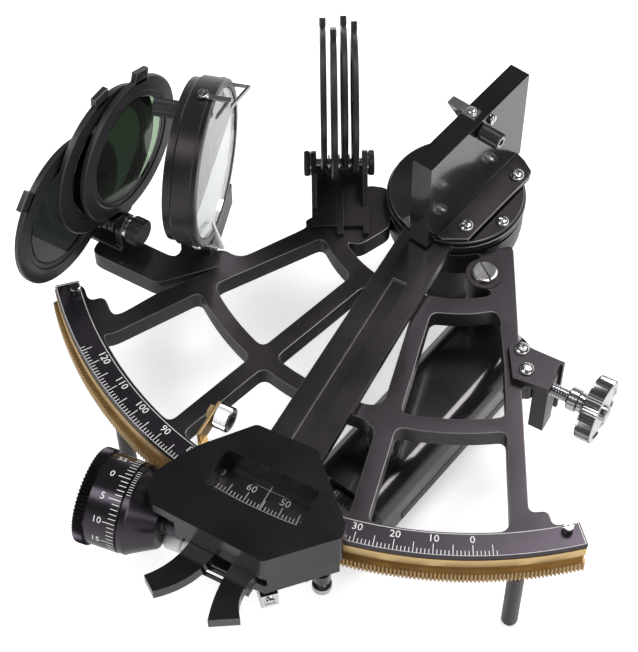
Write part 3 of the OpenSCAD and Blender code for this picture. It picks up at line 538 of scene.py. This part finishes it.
# BEARING. A turned bronze bush with a flange fills the bore of the hub. The steel index
# shaft runs in it and is held by a washer below.
bush_bronze = enamel("bush_bronze", (0.34, 0.22, 0.09), (0.46, 0.31, 0.14), (0.25, 0.4),
                     grain=1400, relief=0.12, metal=1.0)
worm_steel = enamel("worm_steel", (0.38, 0.38, 0.39), (0.56, 0.56, 0.57), (0.2, 0.34), grain=1400,
                    relief=0.1, metal=1.0)
dressed("index_bearing", "frame", [bush_bronze, worm_steel], edge=0.25)
dressed("index_shaft", "arm", [worm_steel], edge=0.3)

# HANDLE. Two glossy moulded halves meet on the middle line. The outer half has long
# finger ribs, the other the saddles for the posts. Two cells lie in it end to end.
grip_black = enamel("grip_black", (0.006, 0.006, 0.007), (0.014, 0.013, 0.015), (0.16, 0.26),
                    grain=2200, relief=0.10, gloss=0.5, coat=0.35)
grip_edge = enamel("grip_edge", (0.020, 0.020, 0.022), (0.045, 0.044, 0.048), (0.2, 0.32),
                   grain=2200, relief=0.08)
cell_wrap = enamel("cell_wrap", (0.05, 0.10, 0.20), (0.08, 0.14, 0.26), (0.3, 0.42), grain=700,
                   relief=0.05, coat=0.3)
dressed("handle_front", "frame", [grip_black, grip_edge], edge=0.6)
dressed("handle_back", "frame", [grip_black, grip_edge], edge=0.45)
dressed("batteries", "frame", [cell_wrap, worm_steel], edge=0.5)
GRIP = ARC @ shift(29, -77.5, -36.5) @ turn_by(-8.4)
cap = turned("cap", [(10.9, 0), (11.5, 0.6), (11.5, 4.2), (10.9, 4.9), (10, 5), (9.6, 4.6),
             (1, 4.5)], [leg_black, edge_wear_and_highlight], sides=96, ridge=0.35)
coin_slot = bar("coin_slot", (-8, -0.9, 3.4), (8, 0.9, 6), [leg_black], 0.1)


def cut(piece, tool):
    """Take the tool's shape out of the piece."""
    hold(piece)
    recess = piece.modifiers.new("recess", "BOOLEAN")
    recess.operation = "DIFFERENCE"
    recess.solver = "EXACT"
    recess.object = tool
    bpy.ops.object.modifier_apply(modifier=recess.name)
    bpy.data.objects.remove(tool)
    return piece


cut(cap, coin_slot)
cap.data.transform(shift(0, -48.3, 0) @ turn_by(90, "X"))
spigot = turned("spigot", [(8.75, 0), (8.75, 3.6), (8.3, 4)], [leg_black], sides=64)
spigot.data.transform(shift(0, -45, 0) @ turn_by(90, "X"))
fit(joined("battery_cap_turned", [cap, spigot]), "battery_cap_body", GRIP, node="battery_cap")
button_red = enamel("button_red", (0.36, 0.012, 0.012), (0.50, 0.025, 0.02), (0.28, 0.4),
                    grain=1800, relief=0.08, coat=0.4)
button = turned("button_dome", [(5, 11), (5, 17.4), (4.75, 18.2), (4.1, 18.8), (2.6, 19),
                (1, 18.7)], [button_red], sides=56)
button.data.transform(shift(0, 34, 3) @ ALONG_X)
fit(button, "button_body", GRIP, node="light_button")

# POSTS. Two turned aluminium posts stand the handle off the lattice, the thinner one
# under the crossing of a spoke and the middle ring.
posts = []
for x, y, r in ((26.4, -26.4, 6.5), (24, -103, 5)):
    post = turned("post", [(2.5, 0), (r - 0.6, 0), (r, 0.5), (r, 3), (r - 0.4, 3.5),
                  (r - 0.4, 8.5), (r, 9), (r, 11.5), (r - 0.5, 12), (2.5, 12), (2.5, 0)],
                  [leg_black], ring=True)
    post.data.transform(shift(x, y, -22))
    posts.append(post)
fit(joined("posts", posts), "frame", ARC, node="handle_posts")

# SCREWS of the frame. Slotted cheese heads hold the upper post and stop the arm, domed
# cross heads hold the telescope bracket. They are nickel plated.
bright_nickel = enamel("bright_nickel", (0.60, 0.60, 0.60), (0.78, 0.78, 0.77), (0.14, 0.26),
                       grain=1800, relief=0.08, metal=1.0)


def slotted_screw(radius, height, slot):
    head = turned("slotted_screw", [(radius * 0.96, 0), (radius, 0.15), (radius, height * 0.7),
                  (radius * 0.93, height * 0.93), (radius * 0.8, height)], [bright_nickel], 48)
    return cut(head, bar("slot", (-radius - 1, -slot / 2, height - 0.7),
                         (radius + 1, slot / 2, height + 1), [bright_nickel], 0.04))


def cross_screw(radius, height):
    head = turned("cross_screw", [(radius * 0.95, 0), (radius, height * 0.15),
                  (radius * 0.98, height * 0.42), (radius * 0.88, height * 0.66),
                  (radius * 0.68, height * 0.86), (radius * 0.42, height * 0.97),
                  (radius * 0.2, height)], [bright_nickel], 48)
    wide = radius * 0.17
    for angle in (45, 135):
        arm = bar("recess", (-radius * 0.55, -wide, height - 0.9),
                  (radius * 0.55, wide, height + 1), [bright_nickel], 0.05)
        arm.data.transform(turn_by(angle))
        cut(head, arm)
    return head


heads = [slotted_screw(5, 1.5, 1.2)]
heads[0].data.transform(shift(26.4, -26.4, -1.4) @ turn_by(-36))
for side in (-1, 1):
    stop = turned("stop_shank", [(1.5, 0), (1.5, 1.7)], [bright_nickel], 24)
    stop_head = slotted_screw(2, 1.6, 0.6)
    stop_head.data.transform(shift(0, 0, 1.6))
    stop = joined("stop", [stop, stop_head])
    stop.data.transform(turn_by(side * 42.5) @ shift(0, -153.2, 0))
    heads.append(stop)
for x, y, angle in ((55.5, -52.9, 10), (61.1, -60.1, 35)):
    head = cross_screw(2.9, 1.7)
    head.data.transform(shift(x, y, 1) @ turn_by(angle))
    heads.append(head)
fit(joined("frame_screw_heads", heads), "frame", ARC, node="frame_screws")

# TELESCOPE BRACKET. A milled block with a dovetail for the telescope hangs beside the
# lattice. A chromed thumb screw with a knurled head locks the slide.
chrome = enamel("chrome", (0.44, 0.44, 0.45), (0.58, 0.58, 0.59), (0.10, 0.20), grain=900,
                relief=0.04, metal=1.0)
dressed("telescope_bracket", "frame", [frame_black, edge_wear_and_highlight], edge=0.4)
thread = [(2.2, 67)]
for k in range(11):
    thread += [(2.5, 67.5 + k * 1.05), (2.5, 67.8 + k * 1.05), (2.15, 68.1 + k * 1.05)]
shank = turned("thread", thread + [(2.15, 79.2)], [chrome], 40)
collar = turned("collar", [(4.1, 79), (4.5, 79.4), (4.5, 82.6), (3.9, 83.2), (3.9, 84.6),
                (4.5, 85.2), (4.5, 86.8)], [chrome], 48)
knob = turned("knob", [(9, 86.5), (12, 86.5), (12.4, 86.8), (12.5, 87.3), (12.5, 92.2),
              (12.4, 92.7), (12, 93), (10.5, 93), (10.2, 92.6), (4, 92.6)], [chrome], 144,
              ridge=0.3)
tip = turned("tip", [(3.2, 92.4), (3.2, 94.1), (2.7, 94.6), (1.2, 94.5)], [chrome], 40)
thumb = joined("thumb_screw", [shank, collar, knob, tip])
fit(thumb, "clamp_body", ARC @ shift(0, -60, -4) @ ALONG_X, node="clamp_screw")

# HORIZON MIRROR. A bracket screwed to the wing carries a round back plate, and on it sits
# the turned cell. Its glass is silvered over the half next to the frame and clear above.
HORIZON = ARC @ shift(-73, -57, 35.7) @ turn_by(18)
RING_R = 32


def glass(name, tint, deep, rough=(0.0, 0.03)):
    """Clear or dyed glass with the faintest waves."""
    finish = enamel(name, deep, tint, rough, grain=300, relief=0.02, gloss=0.5, patch=30)
    shader = finish.node_tree.nodes["Principled BSDF"]
    shader.inputs["Transmission Weight"].default_value = 1
    shader.inputs["IOR"].default_value = 1.5
    return finish


clear_glass = glass("clear_glass", (0.96, 0.98, 0.97), (0.90, 0.95, 0.93))
mirror_silver = enamel("mirror_silver", (0.78, 0.80, 0.81), (0.84, 0.86, 0.86), (0.01, 0.05),
                       grain=400, relief=0.01, metal=1.0)
dressed("horizon_bracket", "frame", [frame_black, edge_wear_and_highlight], edge=0.4)
cell = turned("horizon_cell", [(26.5, -10), (RING_R - 0.7, -10), (RING_R, -9.3), (RING_R, -2.6),
              (31.5, -2.3), (31.5, -1.7), (RING_R, -1.4), (RING_R, -0.5), (31.5, 0), (29.5, 0),
              (29, -0.4), (29, -3.5), (26.5, -3.5), (26.5, -10)], [frame_black, edge_wear_and_highlight], 144,
              ring=True)
# The front faces of the cell take the lighter edge finish: rubbed metal and painted highlight.
for face in cell.data.polygons:
    face.material_index = int(face.normal.z > 0.4 and face.center.z > -2.5)
fit(cell, "frame", HORIZON @ ALONG_X, node="horizon_ring")
pane = turned("horizon_pane", [(28.6, -3.25), (28.9, -3), (28.9, -0.8), (28.6, -0.5)],
              [clear_glass], 128)
fit(pane, "frame", HORIZON @ ALONG_X, node="horizon_glass")
half_disc = [polar(28.6, 180 + 180 * k / 64) for k in range(65)]
silvering = flat_casting("horizon_silvering", [half_disc], -3.45, -3.3, 0.02, [mirror_silver])
YZ_PLANE = Matrix(((0, 0, 1, 0), (1, 0, 0, 0), (0, 1, 0, 0), (0, 0, 0, 1)))
fit(silvering, "frame", HORIZON @ YZ_PLANE, node="horizon_glass")

# CLIPS. Three bent nickel springs are screwed to the wall of the cell. Each leaves it
# forward, turns back at a point and presses on the glass with its tip.
def bent_spring(width, back, reach, drop):
    """A narrow strip along x on the wall, out to its point and back to the glass."""
    path = [(-back, 0.1), (-back, 0.7), (reach - 1, 0.7), (0.66, -drop + 0.1), (0.1, -drop + 0.1),
            (0.1, -drop + 0.9), (reach - 2.4, 0.1)]
    strip = flat_casting("strip", [[Vector(p) for p in path]], -width / 2, width / 2, 0.08,
                         [bright_nickel])
    strip.data.transform(turn_by(90, "X"))
    return strip


clips = []
for angle in (84, 20, 236):
    head = slotted_screw(2.1, 1.4, 0.6)
    head.data.transform(shift(-4.4, 0, 0.8) @ turn_by(angle))
    clip = joined("clip", [bent_spring(2.4, 6.4, 7, 9), head])
    clip.data.transform(turn_by(angle - 90, "X") @ shift(0, 0, RING_R))
    clips.append(clip)
fit(joined("horizon_clips_bent", clips), "frame", HORIZON, node="horizon_clips")

# ADJUSTERS of the horizon mirror. Two knurled barrels behind the back plate, each with a
# hexagon socket and a fine stem, tilt the cell.
anodised = enamel("anodised", (0.010, 0.010, 0.011), (0.026, 0.025, 0.028), (0.26, 0.40),
                  grain=2600, relief=0.16, gloss=0.5)
for name, y, z, radius, reach, stem in (("top", 0, 26.3, 3.5, 9.5, 4.5),
                                        ("side", 22, 0, 3.2, 6.5, 3)):
    barrel = turned("barrel", [(radius - 0.4, -reach), (radius, -reach + 0.4), (radius, -0.7),
                    (radius - 0.4, -0.3)], [anodised], 72, ridge=0.18)
    cut(barrel, turned("socket", [(1.7, -reach - 1), (1.7, -reach + 2.4)], [anodised], 6))
    rod = turned("stem", [(1.5, -1), (1.5, stem - 0.3), (1.2, stem)], [worm_steel], 28)
    barrel = joined("horizon_barrel_" + name, [barrel, rod])
    fit(barrel, name + "_adjuster_body", HORIZON @ shift(-13, y, z) @ ALONG_X,
        node="horizon_adjuster_" + name)

# HORIZON SHADES. Three dyed glasses in stepped black rings swing on one pin between the
# cheeks of a bracket. A knurled knob on the pin sets their friction.
pale_green = glass("pale_green_glass", (0.23, 0.34, 0.22), (0.19, 0.29, 0.18))
dark_green = glass("dark_green_glass", (0.06, 0.08, 0.062), (0.045, 0.06, 0.047))
smoked = glass("smoked_glass", (0.018, 0.021, 0.021), (0.012, 0.014, 0.014))
SHADE_T = 2.3
H_PIN = ARC @ shift(-108.7, -81, 7)


def shade(name, body, place, radius, opening, reach, solids, dye, tab_turn=0):
    """One shade: a stepped ring with its ear and ribbed tab, and the glass in it."""
    half = SHADE_T / 2
    ring = turned("ring", [(opening - 0.1, -half), (radius - 0.5, -half), (radius, -half + 0.4),
                  (radius, half - 0.4), (radius - 0.5, half), (opening + 2.6, half),
                  (opening + 2.1, half - 0.4), (opening + 0.4, half - 0.4),
                  (opening - 0.1, half - 0.7), (opening - 0.1, -half)], [anodised, edge_wear_and_highlight],
                  120, ring=True)
    ring.data.transform(shift(reach, 0, 0))
    hub = [polar(4.6, 70 + 220 * k / 20) for k in range(21)]
    root = reach - radius + 3
    ear = flat_casting("ear", [hub + [(root - 3, -8), (root, -8.5), (root, 8.5), (root - 3, 8)],
                       [polar(2.06, 10 * k) for k in range(36)]], -half, half, 0.25,
                       [anodised, edge_wear_and_highlight])
    tab = [bar("tab", (radius - 2, -4, -half), (radius + 3.4, 4, half), [anodised, edge_wear_and_highlight],
               0.25)]
    for k in range(5):
        tab.append(bar("rib", (radius + 0.5 + k * 0.58, -3.7, -half - 0.12),
                       (radius + 0.8 + k * 0.58, 3.7, half + 0.12), [anodised], 0.05))
    tab = joined("tab", tab)
    tab.data.transform(shift(reach, 0, 0) @ turn_by(tab_turn))
    fit(joined(name + "_ring", [ring, ear, tab]), body, place @ YZ_PLANE, node=solids[0])
    pane = turned("pane", [(opening - 0.2, -0.75), (opening, -0.6), (opening, 0.6),
                  (opening - 0.2, 0.75)], [dye], 96)
    pane.data.transform(shift(reach, 0, 0))
    pane.name = pane.data.name = name + "_glass"
    fit(pane, body, place @ YZ_PLANE, node=solids[1])


for i, angle, dye in ((1, 67, pale_green), (2, 86, dark_green), (3, 129, smoked)):
    shade("horizon_shade_%d" % i, "horizon_shade_body_%d" % i,
          H_PIN @ shift((2 - i) * 3.2, 0, 0) @ turn_by(angle, "X"), 30, 21.6, 32.5,
          ("horizon_shade_%d" % i, "horizon_filter_%d" % i), dye)
dressed("horizon_shade_bracket", "frame", [frame_black, edge_wear_and_highlight], edge=0.3)


def knurled_knob(radius, low, high, finish, cap=None, ridges=72):
    """A knob along z with fine ridges, dished at the end and with a bright screw in it."""
    knob = turned("knob", [(radius - 0.5, low), (radius, low + 0.4), (radius, high - 0.5),
                  (radius - 0.45, high)], [finish], ridges, ridge=radius * 0.035)
    face = turned("face", [(radius * 0.72, high - 0.3), (radius * 0.72, high + 0.02),
                  (radius * 0.62, high + 0.05), (radius * 0.55, high - 0.1)], [cap or finish], 40)
    return joined("knob", [knob, face])


axle = turned("axle", [(2, -10.4), (2, 15.5)], [worm_steel], 36)
nut = turned("nut", [(3.8, -10.5), (4, -10.3), (4, -9), (3.8, -8.8)], [anodised], 6)
washer = turned("washer", [(4.5, 8.4), (4.6, 8.6), (4.6, 10), (4.5, 10.2)], [bright_nickel], 48)
spacers = [turned("spacer", [(3.6, x - 0.15), (3.6, x + 0.15)], [bright_nickel], 40)
           for x in (-1.6, 1.6)]
pin = joined("horizon_pin", [axle, nut, washer, *spacers,
                             knurled_knob(5.6, 10.2, 15.7, anodised)])
fit(pin, "frame", H_PIN @ ALONG_X, node="horizon_shade_pin")

# INDEX SHADES. Four more glasses in the same kind of ring stand side by side on a pin in
# front of the index mirror, in a U bracket with a knurled knob at each end.
I_PIN = ARC @ shift(-46.5, -11.5, 6) @ turn_by(31)
grey_glass = glass("grey_glass", (0.62, 0.63, 0.56), (0.52, 0.54, 0.46))
for i, angle, dye in ((1, 79.5, grey_glass), (2, 90, pale_green), (3, 77.5, grey_glass),
                      (4, 83.5, smoked)):
    shade("index_shade_%d" % i, "index_shade_body_%d" % i,
          I_PIN @ shift((i - 2.5) * 4, 0, 0) @ turn_by(angle, "X"), 27.2, 19.6, 31.5,
          ("index_shade_%d" % i, "index_filter_%d" % i), dye, tab_turn=-38)
dressed("index_shade_bracket", "frame", [frame_black, edge_wear_and_highlight], edge=0.3)
parts = [turned("axle", [(2, -13.8), (2, 13.8)], [worm_steel], 36)]
parts += [turned("spacer", [(3.6, x - 0.3), (3.6, x + 0.3)], [bright_nickel], 40)
          for x in (-4, 0, 4)]
for end in (-1, 1):
    knob = knurled_knob(5, 11.5, 13.9, anodised, bright_nickel)
    band = turned("band", [(4.7, 11), (4.8, 11.1), (4.8, 11.5), (4.7, 11.6)], [chrome], 48)
    knob = joined("knob", [knob, band])
    if end < 0:
        knob.data.transform(turn_by(180, "X"))
    parts.append(knob)
fit(joined("index_pin", parts), "frame", I_PIN @ ALONG_X, node="index_shade_pin")

# INDEX ARM. A machined bar with a round head and a long groove swings over the arc. It
# has the same black finish with lighter edges, partly rubbed metal and partly painted
# highlight, and the table is screwed on it.
ARM = ARC @ turn_by(2.5)
arm_black = enamel("arm_black", (0.005, 0.005, 0.005), (0.012, 0.011, 0.012), (0.22, 0.34),
                   relief=0.30, tint=(1.0, 0.92, 0.99), gloss=0.5)
dressed("index_arm", "arm", [arm_black, edge_wear_and_highlight], edge=0.25)
disc = turned("table_disc", [(26.3, 3.2), (26.6, 3.4), (26.6, 4.8), (26.2, 5.2)],
              [arm_black, edge_wear_and_highlight], 144)
# The upward chamfer of the disc takes the lighter edge finish: rubbed metal and painted highlight.
for face in disc.data.polygons:
    face.material_index = int(0.3 < face.normal.z < 0.95)
fit(disc, "arm", ARM, node="index_table")

# INDEX MIRROR. Its foot plate is screwed to the table. The frame behind the glass is gloss
# black. A bent spring above and two hooks below hold the glass against it.
MIRROR = ARM @ turn_by(-11.1)
gloss_black = enamel("gloss_black", (0.004, 0.004, 0.005), (0.010, 0.010, 0.011), (0.12, 0.2),
                     grain=1200, relief=0.05, gloss=0.5, coat=0.5)
dressed("mirror_foot", "arm", [arm_black, edge_wear_and_highlight], edge=0.4)
dressed("mirror_frame", "arm", [gloss_black, edge_wear_and_highlight], edge=0.5)
dressed("mirror_glass", "arm", [mirror_silver, clear_glass], edge=0.25)
LOW, HIGH = 6.0, 50.5
MIRRORED_X = Matrix.Scale(-1, 4, (1, 0, 0))
clips = [bent_spring(4.2, 5.9, 8, 5)]
clips[0].data.transform(shift(0, 1.5, HIGH) @ MIRRORED_X)
hold(clips[0])
bpy.ops.object.mode_set(mode="EDIT")
bpy.ops.mesh.select_all(action="SELECT")
bpy.ops.mesh.normals_make_consistent(inside=False)
bpy.ops.object.mode_set(mode="OBJECT")
for side in (-1, 1):
    clips.append(bar("hook", (-0.85, side * 26 - 1.5, LOW - 0.5),
                     (-0.05, side * 26 + 1.5, LOW + 3.9), [bright_nickel], 0.2))
    corners = ((-0.1, 22.2), (-1, 27.7), (-7.4, 25.7), (-5.5, 19.3))
    heel = [Vector((x, side * y)) for x, y in corners][::side]
    clips.append(flat_casting("heel", [heel], 5.25, 5.95, 0.1, [bright_nickel]))
    clips.append(turned("heel_screw", [(1.3, LOW - 0.05), (1.3, LOW + 2), (0.9, LOW + 2.35)],
                        [bright_nickel], 24))
    clips[-1].data.transform(shift(-4.6, side * 22.4, 0))
for x, y, z, radius, height in ((3, 1.5, HIGH + 0.8, 1.9, 1.1), (14.7, -14.2, 7.9, 3, 1.8),
                                (15.2, 18.8, 7.9, 3, 1.8), (23.3, -1.8, 5.2, 2.6, 1.6)):
    head = cross_screw(radius, height)
    head.data.transform(shift(x, y, z) @ turn_by(x * 7))
    clips.append(head)
set_screw = slotted_screw(2, 1.4, 0.5)
set_screw.data.transform(shift(8.6, 6.4, HIGH - 4) @ ALONG_X)
clips.append(set_screw)
fit(joined("mirror_clips_and_screws", clips), "arm", MIRROR, node="mirror_clips")
barrel = turned("barrel", [(3, 0.3), (3.3, 0.6), (3.3, 8.9), (3, 9.3)], [anodised], 72,
                ridge=0.18)
cut(barrel, turned("socket", [(1.5, 6.5), (1.5, 12)], [anodised], 6))
rim = turned("rim", [(1.6, 9.2), (2.4, 9.2), (2.4, 9.4), (1.6, 9.4), (1.6, 9.2)], [chrome], 6,
             ring=True)
rod = turned("stem", [(1.5, -4), (1.5, 1)], [worm_steel], 28)
fit(joined("mirror_barrel", [barrel, rim, rod]), "mirror_adjuster_body",
    MIRROR @ shift(8.6, 0, HIGH - 5) @ ALONG_X, node="mirror_adjuster")

# MICROMETER HOUSING. A cast cover over the foot of the arm with a sunk reading window. Its
# corners and the rim of the well are broadly rounded. A chassis of bare dark metal closes it.
WINDOW = (-0.5, -156.6)


def rounded(piece, wanted, width, segments=4):
    """A broad round on the wanted edges alone."""
    mesh = hold(piece).data
    weights = mesh.attributes.get("bevel_weight_edge")
    if weights is None:
        weights = mesh.attributes.new("bevel_weight_edge", "FLOAT", "EDGE")
    for edge in mesh.edges:
        a, b = (mesh.vertices[v].co for v in edge.vertices)
        weights.data[edge.index].value = float(wanted(a, b))
    bevel = piece.modifiers.new("round", "BEVEL")
    bevel.width = width
    bevel.segments = segments
    bevel.limit_method = "WEIGHT"
    bpy.ops.object.modifier_apply(modifier=bevel.name)


cover_black = enamel("cover_black", (0.005, 0.005, 0.0055), (0.010, 0.010, 0.011), (0.13, 0.22),
                     grain=1900, relief=0.4, tint=(1.0, 0.95, 1.0), gloss=0.38)
COVER_TOP = ARC_Z + 10


def on_top(spot):
    return spot.z > COVER_TOP - 0.01


def upright(a, b):
    return (a.xy - b.xy).length < 0.01 and abs(a.z - b.z) > 3 and (on_top(a) or on_top(b))


def outside(spot):
    """Whether a spot is nearer the outline of the cover than the reading window."""
    away = (ARM.inverted() @ spot).xy - Vector(WINDOW)
    return abs(away.x) > 22 or abs(away.y) > 12


cover = cast_copy("housing_cover", "housing_cover_cast", [cover_black, edge_wear_and_highlight])
rounded(cover, lambda a, b: upright(a, b) and outside(a), 4.5)
rounded(cover, lambda a, b: upright(a, b) and not outside(a), 2.4)
rounded(cover, lambda a, b: on_top(a) and on_top(b), 2, 5)
fit(cover, "arm", node="housing_cover", smooth=40)
chassis_grey = enamel("chassis_grey", (0.016, 0.016, 0.013), (0.032, 0.032, 0.027), (0.3, 0.45),
                      grain=1500, relief=0.15, metal=0.3)
dressed("housing_base", "arm", [chassis_grey], edge=0.4)
window_glass = enamel("window_glass", (0.02, 0.02, 0.02), (0.04, 0.04, 0.04), (0.02, 0.06),
                      grain=300, relief=0.01, gloss=0.25)
window_glass.node_tree.nodes["Principled BSDF"].inputs["Alpha"].default_value = 0.12
left, right, top = WINDOW[0] - 18.45, WINDOW[0] + 18.45, WINDOW[1] + 8.2
window = bar("window_pane", (left, WINDOW[1] - 8.2, 0.7), (right, top, 1.7), [window_glass], 0.15)
fit(window, "arm", ARM, node="scale_window")
mask = bar("window_mask", (left + 0.05, -151.4, 0.35), (right - 0.05, top, 0.72), [cover_black],
           0.03)
fit(mask, "arm", ARM, node="scale_window")
line = bar("index_line", (-0.07, -164, 1.66), (0.07, -150.5, 1.72), [engraved_white], 0.02)
fit(line, "arm", ARM, node="scale_window")

# SQUEEZE LEVERS. A fixed thumb rest and the lever of the worm carrier, both gloss black
# with eased edges. The carrier swings on a pin, and a blade spring closes it.
lever_black = enamel("lever_black", (0.005, 0.005, 0.006), (0.012, 0.011, 0.013), (0.12, 0.22),
                     grain=1500, relief=0.06, gloss=0.4, coat=0.2)
dressed("thumb_rest", "arm", [lever_black], edge=0.6)
dressed("worm_carrier", "carrier", [lever_black], edge=0.6)
dressed("carrier_pin", "arm", [worm_steel], edge=0.3)
dressed("carrier_spring", "arm", [bright_nickel], edge=0.12)

# SCALE LAMP. A brass bracket on the side of the housing holds the lamp under a knurled
# nickel cap that lies across the arm.
dressed("lamp_holder", "arm", [rack_brass], edge=0.2)
cap = turned("cap", [(3.4, -5.9), (4.4, -5.9), (4.8, -5.5), (4.8, -0.5), (4.4, -0.1), (3.2, 0),
              (3, -1.2), (1.5, -1.3)], [chrome], 96, ridge=0.25)
stem = turned("stem", [(1.8, -8.6), (1.8, -5)], [rack_brass], 32)
nut = turned("nut", [(2.6, -9.4), (2.8, -9.2), (2.8, -7.9), (2.6, -7.7)], [rack_brass], 6)
fit(joined("lamp_cap_knurled", [cap, stem, nut]), "lamp_cap_body",
    ARM @ shift(-25, -134.8, 5.2) @ ALONG_X, node="lamp_cap")

# WORM. The hardened shaft carries the worm rings at the pitch of the rack and turns in
# the two walls of the carrier, with the micrometer drum on its other end.
WORM = ARM @ turn_by(7) @ shift(0, -167.2, -12)
dressed("worm_shaft", "micrometer", [worm_steel], edge=0.12)

# MICROMETER SLEEVE. Fixed to the carrier, with a cone toward the neck and the vernier
# lines on its narrow land next to the drum.
DRUM_R = 17
drum_black = enamel("drum_black", (0.006, 0.006, 0.0065), (0.012, 0.011, 0.012), (0.16, 0.26),
                    grain=2800, relief=0.14, tint=(0.93, 0.80, 1.0), gloss=0.5)
sleeve = turned("sleeve", [(15.6, -64.7), (16.5, -64.7), (16.8, -64.5), (16.8, -62.4),
                (16.2, -61.7), (11.4, -52.4), (10.6, -52), (5.6, -52), (5, -51.6), (5, -19)],
                [drum_black, edge_wear_and_highlight], 128)
parts = [sleeve]


def on_drum(x, t, radius):
    """A place on the drum: x along the shaft, t around it from +Y toward +Z."""
    return shift(x, 0, 0) @ turn_by(t - 90, "X") @ shift(0, 0, radius)


for k in range(11):
    tick = bar("tick", (-0.8, -0.09, -0.02), (0.8, 0.09, 0.03), [engraved_white], 0.01)
    tick.data.transform(on_drum(-63.6, 70 + 3.5 * k, 16.8))
    tick.data.transform(ALONG_X.inverted())
    parts.append(tick)
fit(joined("vernier_sleeve_turned", parts), "carrier", WORM @ ALONG_X, node="vernier_sleeve")

# DRUM. It is graduated 0 to 60 for one turn, which moves the arm one degree. The rim is
# finely knurled.
body = turned("drum_body", [(16.4, -76.9), (17, -76.8), (17, -65.3), (16.7, -65), (3, -65)],
              [drum_black, edge_wear_and_highlight], 144)
rim = turned("drum_rim", [(3, -81.2), (12, -81.2), (12.4, -80.9), (16.6, -80.9), (17, -81.2),
             (17.6, -81.1), (18, -80.7), (18, -77.3), (17.6, -76.8), (16.4, -76.8)],
             [drum_black, edge_wear_and_highlight], 144, ridge=0.28)
marks = []
for k in range(60):
    length = 4.6 if k % 5 == 0 else 2.8
    tick = bar("tick", (-length, -0.13, -0.02), (0, 0.13, 0.03), [engraved_white], 0.01)
    tick.data.transform(on_drum(-65.3, 85 + 6 * k, DRUM_R))
    marks.append(tick)
for k in range(12):
    number = hold(lettered(str(5 * k), 3.7, [engraved_white]))
    bpy.ops.object.mode_set(mode="EDIT")
    bpy.ops.mesh.select_all(action="SELECT")
    bpy.ops.mesh.subdivide(number_cuts=4)
    bpy.ops.object.mode_set(mode="OBJECT")
    for spot in number.data.vertices:
        angle = math.radians(85 + 30 * k) - spot.co.y / DRUM_R
        radius = DRUM_R + 0.012 + spot.co.z
        spot.co = (-72.2 + spot.co.x, radius * math.cos(angle), radius * math.sin(angle))
    marks.append(number)
for mark in marks:
    mark.data.transform(ALONG_X.inverted())
fit(joined("drum_graduated", [body, rim, *marks]), "micrometer", WORM @ ALONG_X, node="drum")

# DRUM LAMP. A frosted bulb in a thin holder beside the neck lights the graduations.
frosted = enamel("frosted", (0.62, 0.64, 0.62), (0.78, 0.80, 0.78), (0.35, 0.5), grain=900,
                 relief=0.1, coat=0.2)
bulb = turned("bulb", [(1.2, -51.7), (2.4, -51.5), (3.2, -50.7), (3.5, -49.6), (3.5, -45.4),
              (3.1, -45), (2.2, -45), (2.2, -41.2), (2, -41)], [frosted], 40)
fit(bulb, "carrier", WORM @ shift(0, -3.6, -7.7) @ ALONG_X, node="drum_lamp")

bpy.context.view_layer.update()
